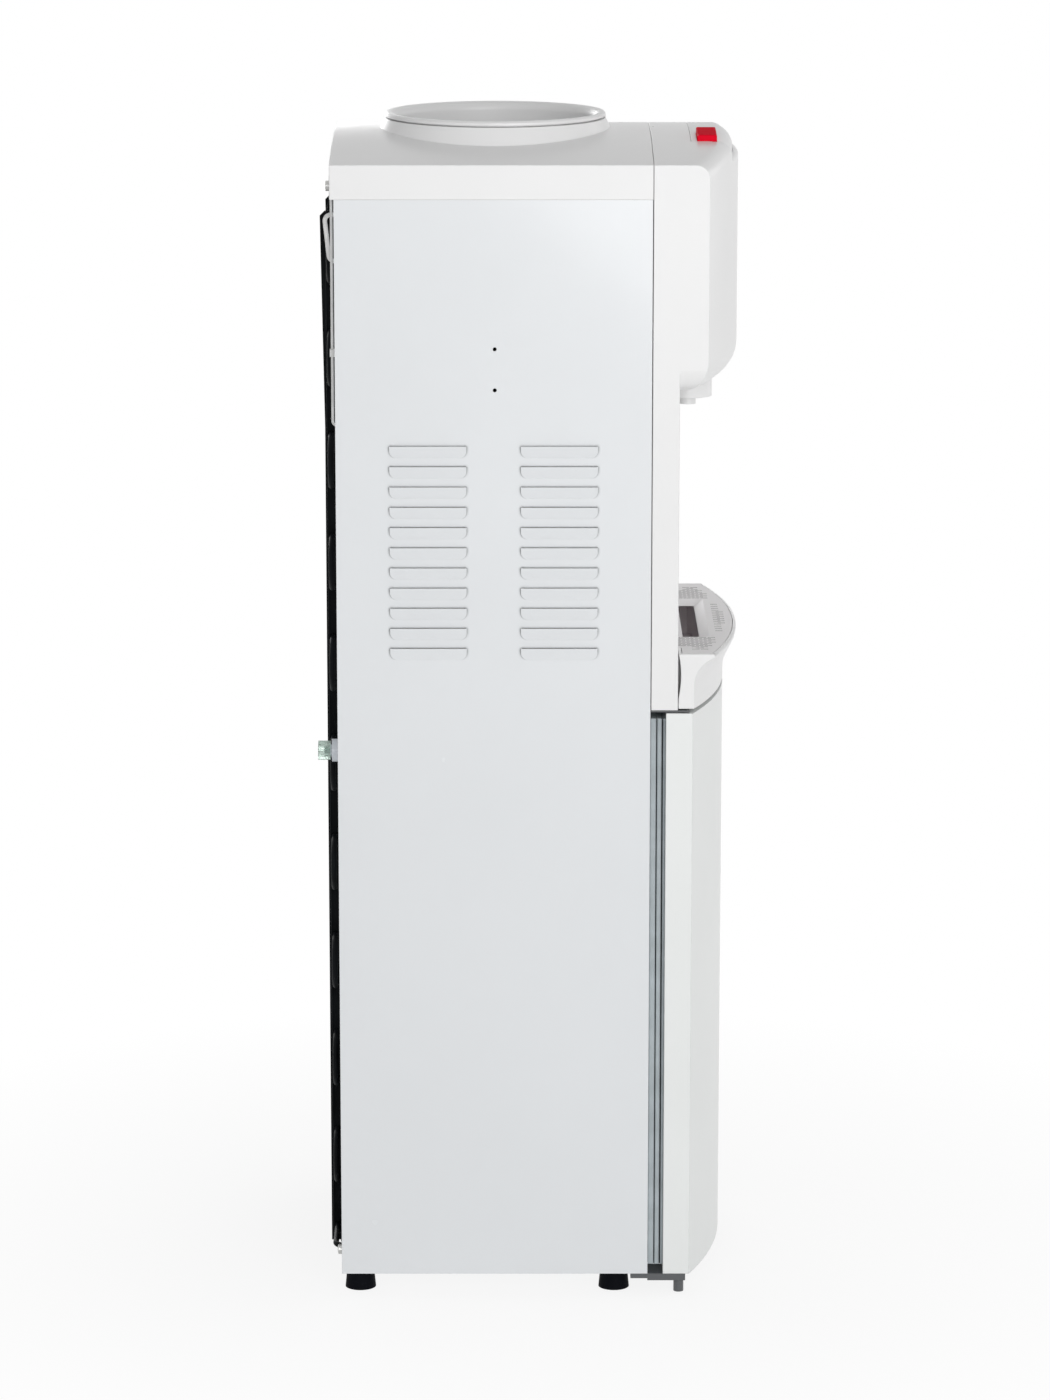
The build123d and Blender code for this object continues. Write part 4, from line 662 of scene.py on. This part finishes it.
class COOLER_OT_drip_tray(bpy.types.Operator):
    """Grille and pan of the drip tray."""

    bl_idname = "cooler.drip_tray"
    bl_label = "Drip tray"

    def execute(self, context):
        tones = context.scene.cooler_finishes
        grey = tones.grille_grey
        # The recess reach paints shade into the grille's slots and cup corners
        grille = moulded("grille_grey", grey, roughness=0.45, edge=0.0005, recess=0.004)
        dress(grille, "drip_grille")
        dress(moulded("pan_grey", tones.pan_grey, roughness=0.45, drift=0.05), "drip_pan")
        return {"FINISHED"}


class COOLER_OT_door(bpy.types.Operator):
    """Door, its gasket and its hinges."""

    bl_idname = "cooler.door"
    bl_label = "Door"

    def execute(self, context):
        tones = context.scene.cooler_finishes
        tint = (0.995, 1.015, 1.005)
        white = tuple(part * share for part, share in zip(tones.shell_white, tint))
        dress(moulded("door_white", white, roughness=0.32, edge=0.0012), "door_skin")
        dress(moulded("door_lining", tones.lining_white, roughness=0.42), "door_liner")
        dress(moulded("bush_nylon", (0.7, 0.7, 0.68), roughness=0.45), "hinge_bushes")
        hinge = baked_paint("hinge_paint", tones.hinge_grey, roughness=0.4)
        dress(hinge, "upper_hinge_bracket", "lower_hinge_bracket")
        # The recess reach paints shade into the gasket's grooves
        soft = rubber("gasket_rubber", tones.gasket_grey, roughness=0.42, recess=0.0025)
        gasket = gasket_mesh(soft)
        place_piece("door_gasket_bellows", gasket, "door", "door_gasket")
        return {"FINISHED"}


class COOLER_OT_cabinet(bpy.types.Operator):
    """Lining, shelf and foam of the cold cabinet."""

    bl_idname = "cooler.cabinet"
    bl_label = "Cold cabinet"

    def execute(self, context):
        tones = context.scene.cooler_finishes
        lining = moulded("cabinet_lining", tones.lining_white, roughness=0.38, edge=0.0015)
        dress(lining, "cabinet_liner")
        dress(baked_paint("shelf_white", (0.78, 0.79, 0.79), roughness=0.3), "wire_shelf")
        rigid = foam("rigid_foam", (0.72, 0.66, 0.48))
        dress(rigid, "cabinet_insulation", "door_insulation", "cold_jacket", "hot_jacket")
        return {"FINISHED"}


class COOLER_OT_water_circuit(bpy.types.Operator):
    """Tanks, heater, thermostats and hoses."""

    bl_idname = "cooler.water_circuit"
    bl_label = "Water circuit"

    def execute(self, context):
        steel = rolled_metal("tank_steel", (0.56, 0.56, 0.55), roughness=0.3)
        dress(steel, "cold_tank", "hot_tank")
        dress(rolled_metal("heater_steel", (0.36, 0.33, 0.29), roughness=0.45), "heater_band")
        dress(moulded("thermostat_black", (0.02, 0.02, 0.022), roughness=0.4), "thermostats")
        hoses = ("hot_hose", "cold_hose", "feed_hose", "drain_hose")
        dress(clear_moulding("hose_silicone", (0.82, 0.82, 0.79)), *hoses)
        return {"FINISHED"}


class COOLER_OT_refrigeration(bpy.types.Operator):
    """Compressor, condenser and pipes."""

    bl_idname = "cooler.refrigeration"
    bl_label = "Refrigeration"

    def execute(self, context):
        black = enamel("condenser_enamel", context.scene.cooler_finishes.condenser_black)
        condenser = ("condenser_coil", "condenser_wires", "condenser_brackets")
        dress(black, "compressor", *condenser, "discharge_line", "filter_drier")
        copper = rolled_metal("pipe_copper", (0.56, 0.26, 0.14), roughness=0.28)
        dress(copper, "evaporator", "suction_line")
        return {"FINISHED"}


class COOLER_OT_rear_fittings(bpy.types.Operator):
    """Screws, drain, switches and leads at the back."""

    bl_idname = "cooler.rear_fittings"
    bl_label = "Rear fittings"

    def execute(self, context):
        tones = context.scene.cooler_finishes
        sizes = context.scene.cooler_fittings
        dress(moulded("drain_white", (0.76, 0.8, 0.85), roughness=0.35), "drain_outlet")
        dress(moulded("switch_black", (0.02, 0.02, 0.022), roughness=0.42), "switch_housing")
        dress(moulded("rocker_red", (0.45, 0.012, 0.012), roughness=0.22), "hot_switch")
        dress(moulded("rocker_green", (0.02, 0.24, 0.06), roughness=0.22), "cold_switch")
        dress(rubber("lead_sleeve", (0.88, 0.88, 0.87), roughness=0.4), "rear_leads")
        low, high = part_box("drain_cap")
        mouth = ((low.x + high.x) / 2, low.y, (low.z + high.z) / 2)
        cap = run_tree(
            cap_tree(clear_moulding("cap_green", tones.cap_green, clear=0.8)), [mouth],
            Radius=(high.x - low.x) / 2, Length=high.y - low.y,
            Ribs=sizes.cap_ribs, Rib_depth=sizes.cap_rib_depth,
        )
        ribbed = smooth(cap, angle=30)
        place_piece("drain_cap_ribbed", ribbed, "drain_cap", "drain_cap")
        zinc = rolled_metal("screw_zinc", (0.46, 0.46, 0.45), roughness=0.3, stretch=(1, 1, 1))
        cover_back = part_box("top_cover")[1].y
        panel_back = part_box("left_side_panel")[1].y
        cover_aside, cover_rise = 0.133, 0.93605
        panel_aside, panel_rise = 0.148, 0.038
        places = [(side * cover_aside, cover_back, cover_rise) for side in (-1, 1)]
        places += [(side * panel_aside, panel_back, panel_rise) for side in (-1, 1)]
        screws = run_tree(
            screw_tree(zinc), places,
            Height=sizes.screw_height, Dome=sizes.screw_dome, Cross=sizes.screw_cross,
        )
        heads = smooth(screws, angle=30)
        place_piece("rear_screw_heads", heads, "cabinet", "rear_screws")
        return {"FINISHED"}


# Stage


def lamp(name, place, power, size):
    """Large soft lamp that points at the cooler's middle."""
    middle = Vector((0, 0, 0.5))
    data = bpy.data.lights.new(name, "AREA")
    data.energy = power
    data.shape = "DISK"
    data.size = size
    made = bpy.data.objects.new(name, data)
    made.location = place
    made.rotation_euler = (middle - Vector(place)).to_track_quat("-Z", "Y").to_euler()
    bpy.context.scene.collection.objects.link(made)


def direct_rays(tree):
    """One for rays of the camera, of reflections and through clear pieces, and else zero."""
    path = add(tree, "ShaderNodeLightPath").outputs
    seen = maths(tree, "MAXIMUM", path["Is Camera Ray"], path["Is Glossy Ray"])
    return maths(tree, "MAXIMUM", seen, path["Is Transmission Ray"])


def pale_floor():
    """Wide pale floor that takes the cooler's shadow and runs out to white."""
    made, tree, shader = start_finish(
        "stage_floor", Base_Color=(0.9, 0.9, 0.9, 1), Roughness=0.9, Specular_IOR_Level=0.0,
    )
    glow = add(tree, "ShaderNodeEmission", Color=(1, 1, 1, 1), Strength=1.0)
    away = tree.nodes.new("ShaderNodeVectorMath")
    away.operation = "LENGTH"
    tree.links.new(object_place(tree), away.inputs[0])
    near, far, least = 0.15, 0.75, 0.85
    white = add(
        tree, "ShaderNodeMapRange", Value=away.outputs["Value"],
        From_Min=near, From_Max=far, To_Min=least, To_Max=1.0,
    )
    share = maths(tree, "MULTIPLY", direct_rays(tree), white.outputs["Result"])
    mix = tree.nodes.new("ShaderNodeMixShader")
    for socket, source in zip(mix.inputs, (share, shader.outputs[0], glow.outputs[0])):
        tree.links.new(source, socket)
    tree.links.new(mix.outputs[0], tree.nodes["Material Output"].inputs["Surface"])
    shape = bmesh.new()
    bmesh.ops.create_circle(shape, cap_ends=True, radius=60, segments=96)
    floor = bpy.data.objects.new("stage_floor", finished_mesh("stage_floor", shape, made))
    bpy.context.scene.collection.objects.link(floor)


def even_sky(scene, strength):
    """Even light all round, white where it is seen."""
    scene.world = scene.world or bpy.data.worlds.new("stage_sky")
    scene.world.use_nodes = True
    tree = scene.world.node_tree
    sky = tree.nodes["Background"]
    sky.inputs["Color"].default_value = (1, 1, 1, 1)
    level = add(tree, "ShaderNodeMapRange", Value=direct_rays(tree), To_Min=strength, To_Max=1.0)
    tree.links.new(level.outputs["Result"], sky.inputs["Strength"])


class COOLER_OT_stage(bpy.types.Operator):
    """Floor, light and camera."""

    bl_idname = "cooler.stage"
    bl_label = "Stage"

    def execute(self, context):
        scene = context.scene
        stage = scene.cooler_stage
        pale_floor()
        even_sky(scene, stage.sky)
        lamp("key_lamp", stage.key_place, stage.key_power, stage.key_size)
        lamp("front_lamp", stage.front_place, stage.front_power, stage.front_size)
        lamp("fill_lamp", stage.fill_place, stage.fill_power, stage.fill_size)
        data = bpy.data.cameras.new("camera")
        data.lens = stage.camera_lens
        data.sensor_width = 36
        data.clip_end = 100
        camera = bpy.data.objects.new("camera", data)
        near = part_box("left_side_panel")[0].x
        camera.location = (near - stage.camera_away, stage.camera_back, stage.camera_rise)
        aim = Vector((near, stage.aim_back, stage.aim_rise)) - camera.location
        camera.rotation_euler = aim.to_track_quat("-Z", "Y").to_euler()
        scene.collection.objects.link(camera)
        scene.camera = camera
        scene.view_settings.view_transform = "Standard"
        return {"FINISHED"}


class COOLER_PT_panel(bpy.types.Panel):
    """Lists the steps that dress the cooler."""

    bl_idname = "COOLER_PT_panel"
    bl_label = "Water cooler"
    bl_space_type = "VIEW_3D"
    bl_region_type = "UI"
    bl_category = "Cooler"

    def draw(self, context):
        for step in steps:
            self.layout.operator(step.bl_idname)


steps = (
    COOLER_OT_steel_body,
    COOLER_OT_mouldings,
    COOLER_OT_controls,
    COOLER_OT_drip_tray,
    COOLER_OT_door,
    COOLER_OT_cabinet,
    COOLER_OT_water_circuit,
    COOLER_OT_refrigeration,
    COOLER_OT_rear_fittings,
    COOLER_OT_stage,
)
groups = {
    "cooler_finishes": CoolerFinishes,
    "cooler_fittings": CoolerFittings,
    "cooler_stage": CoolerStage,
}


def register():
    """Makes the settings, the steps and the panel known."""
    for kind in (*groups.values(), *steps, COOLER_PT_panel):
        bpy.utils.register_class(kind)
    for name, kind in groups.items():
        setattr(bpy.types.Scene, name, PointerProperty(type=kind))


def unregister():
    """Takes them away again."""
    for name in groups:
        delattr(bpy.types.Scene, name)
    for kind in reversed((*groups.values(), *steps, COOLER_PT_panel)):
        bpy.utils.unregister_class(kind)


def main():
    """Dresses the cooler."""
    register()
    for step in steps:
        family, name = step.bl_idname.split(".")
        getattr(getattr(bpy.ops, family), name)()


if __name__ == "__main__":
    main()
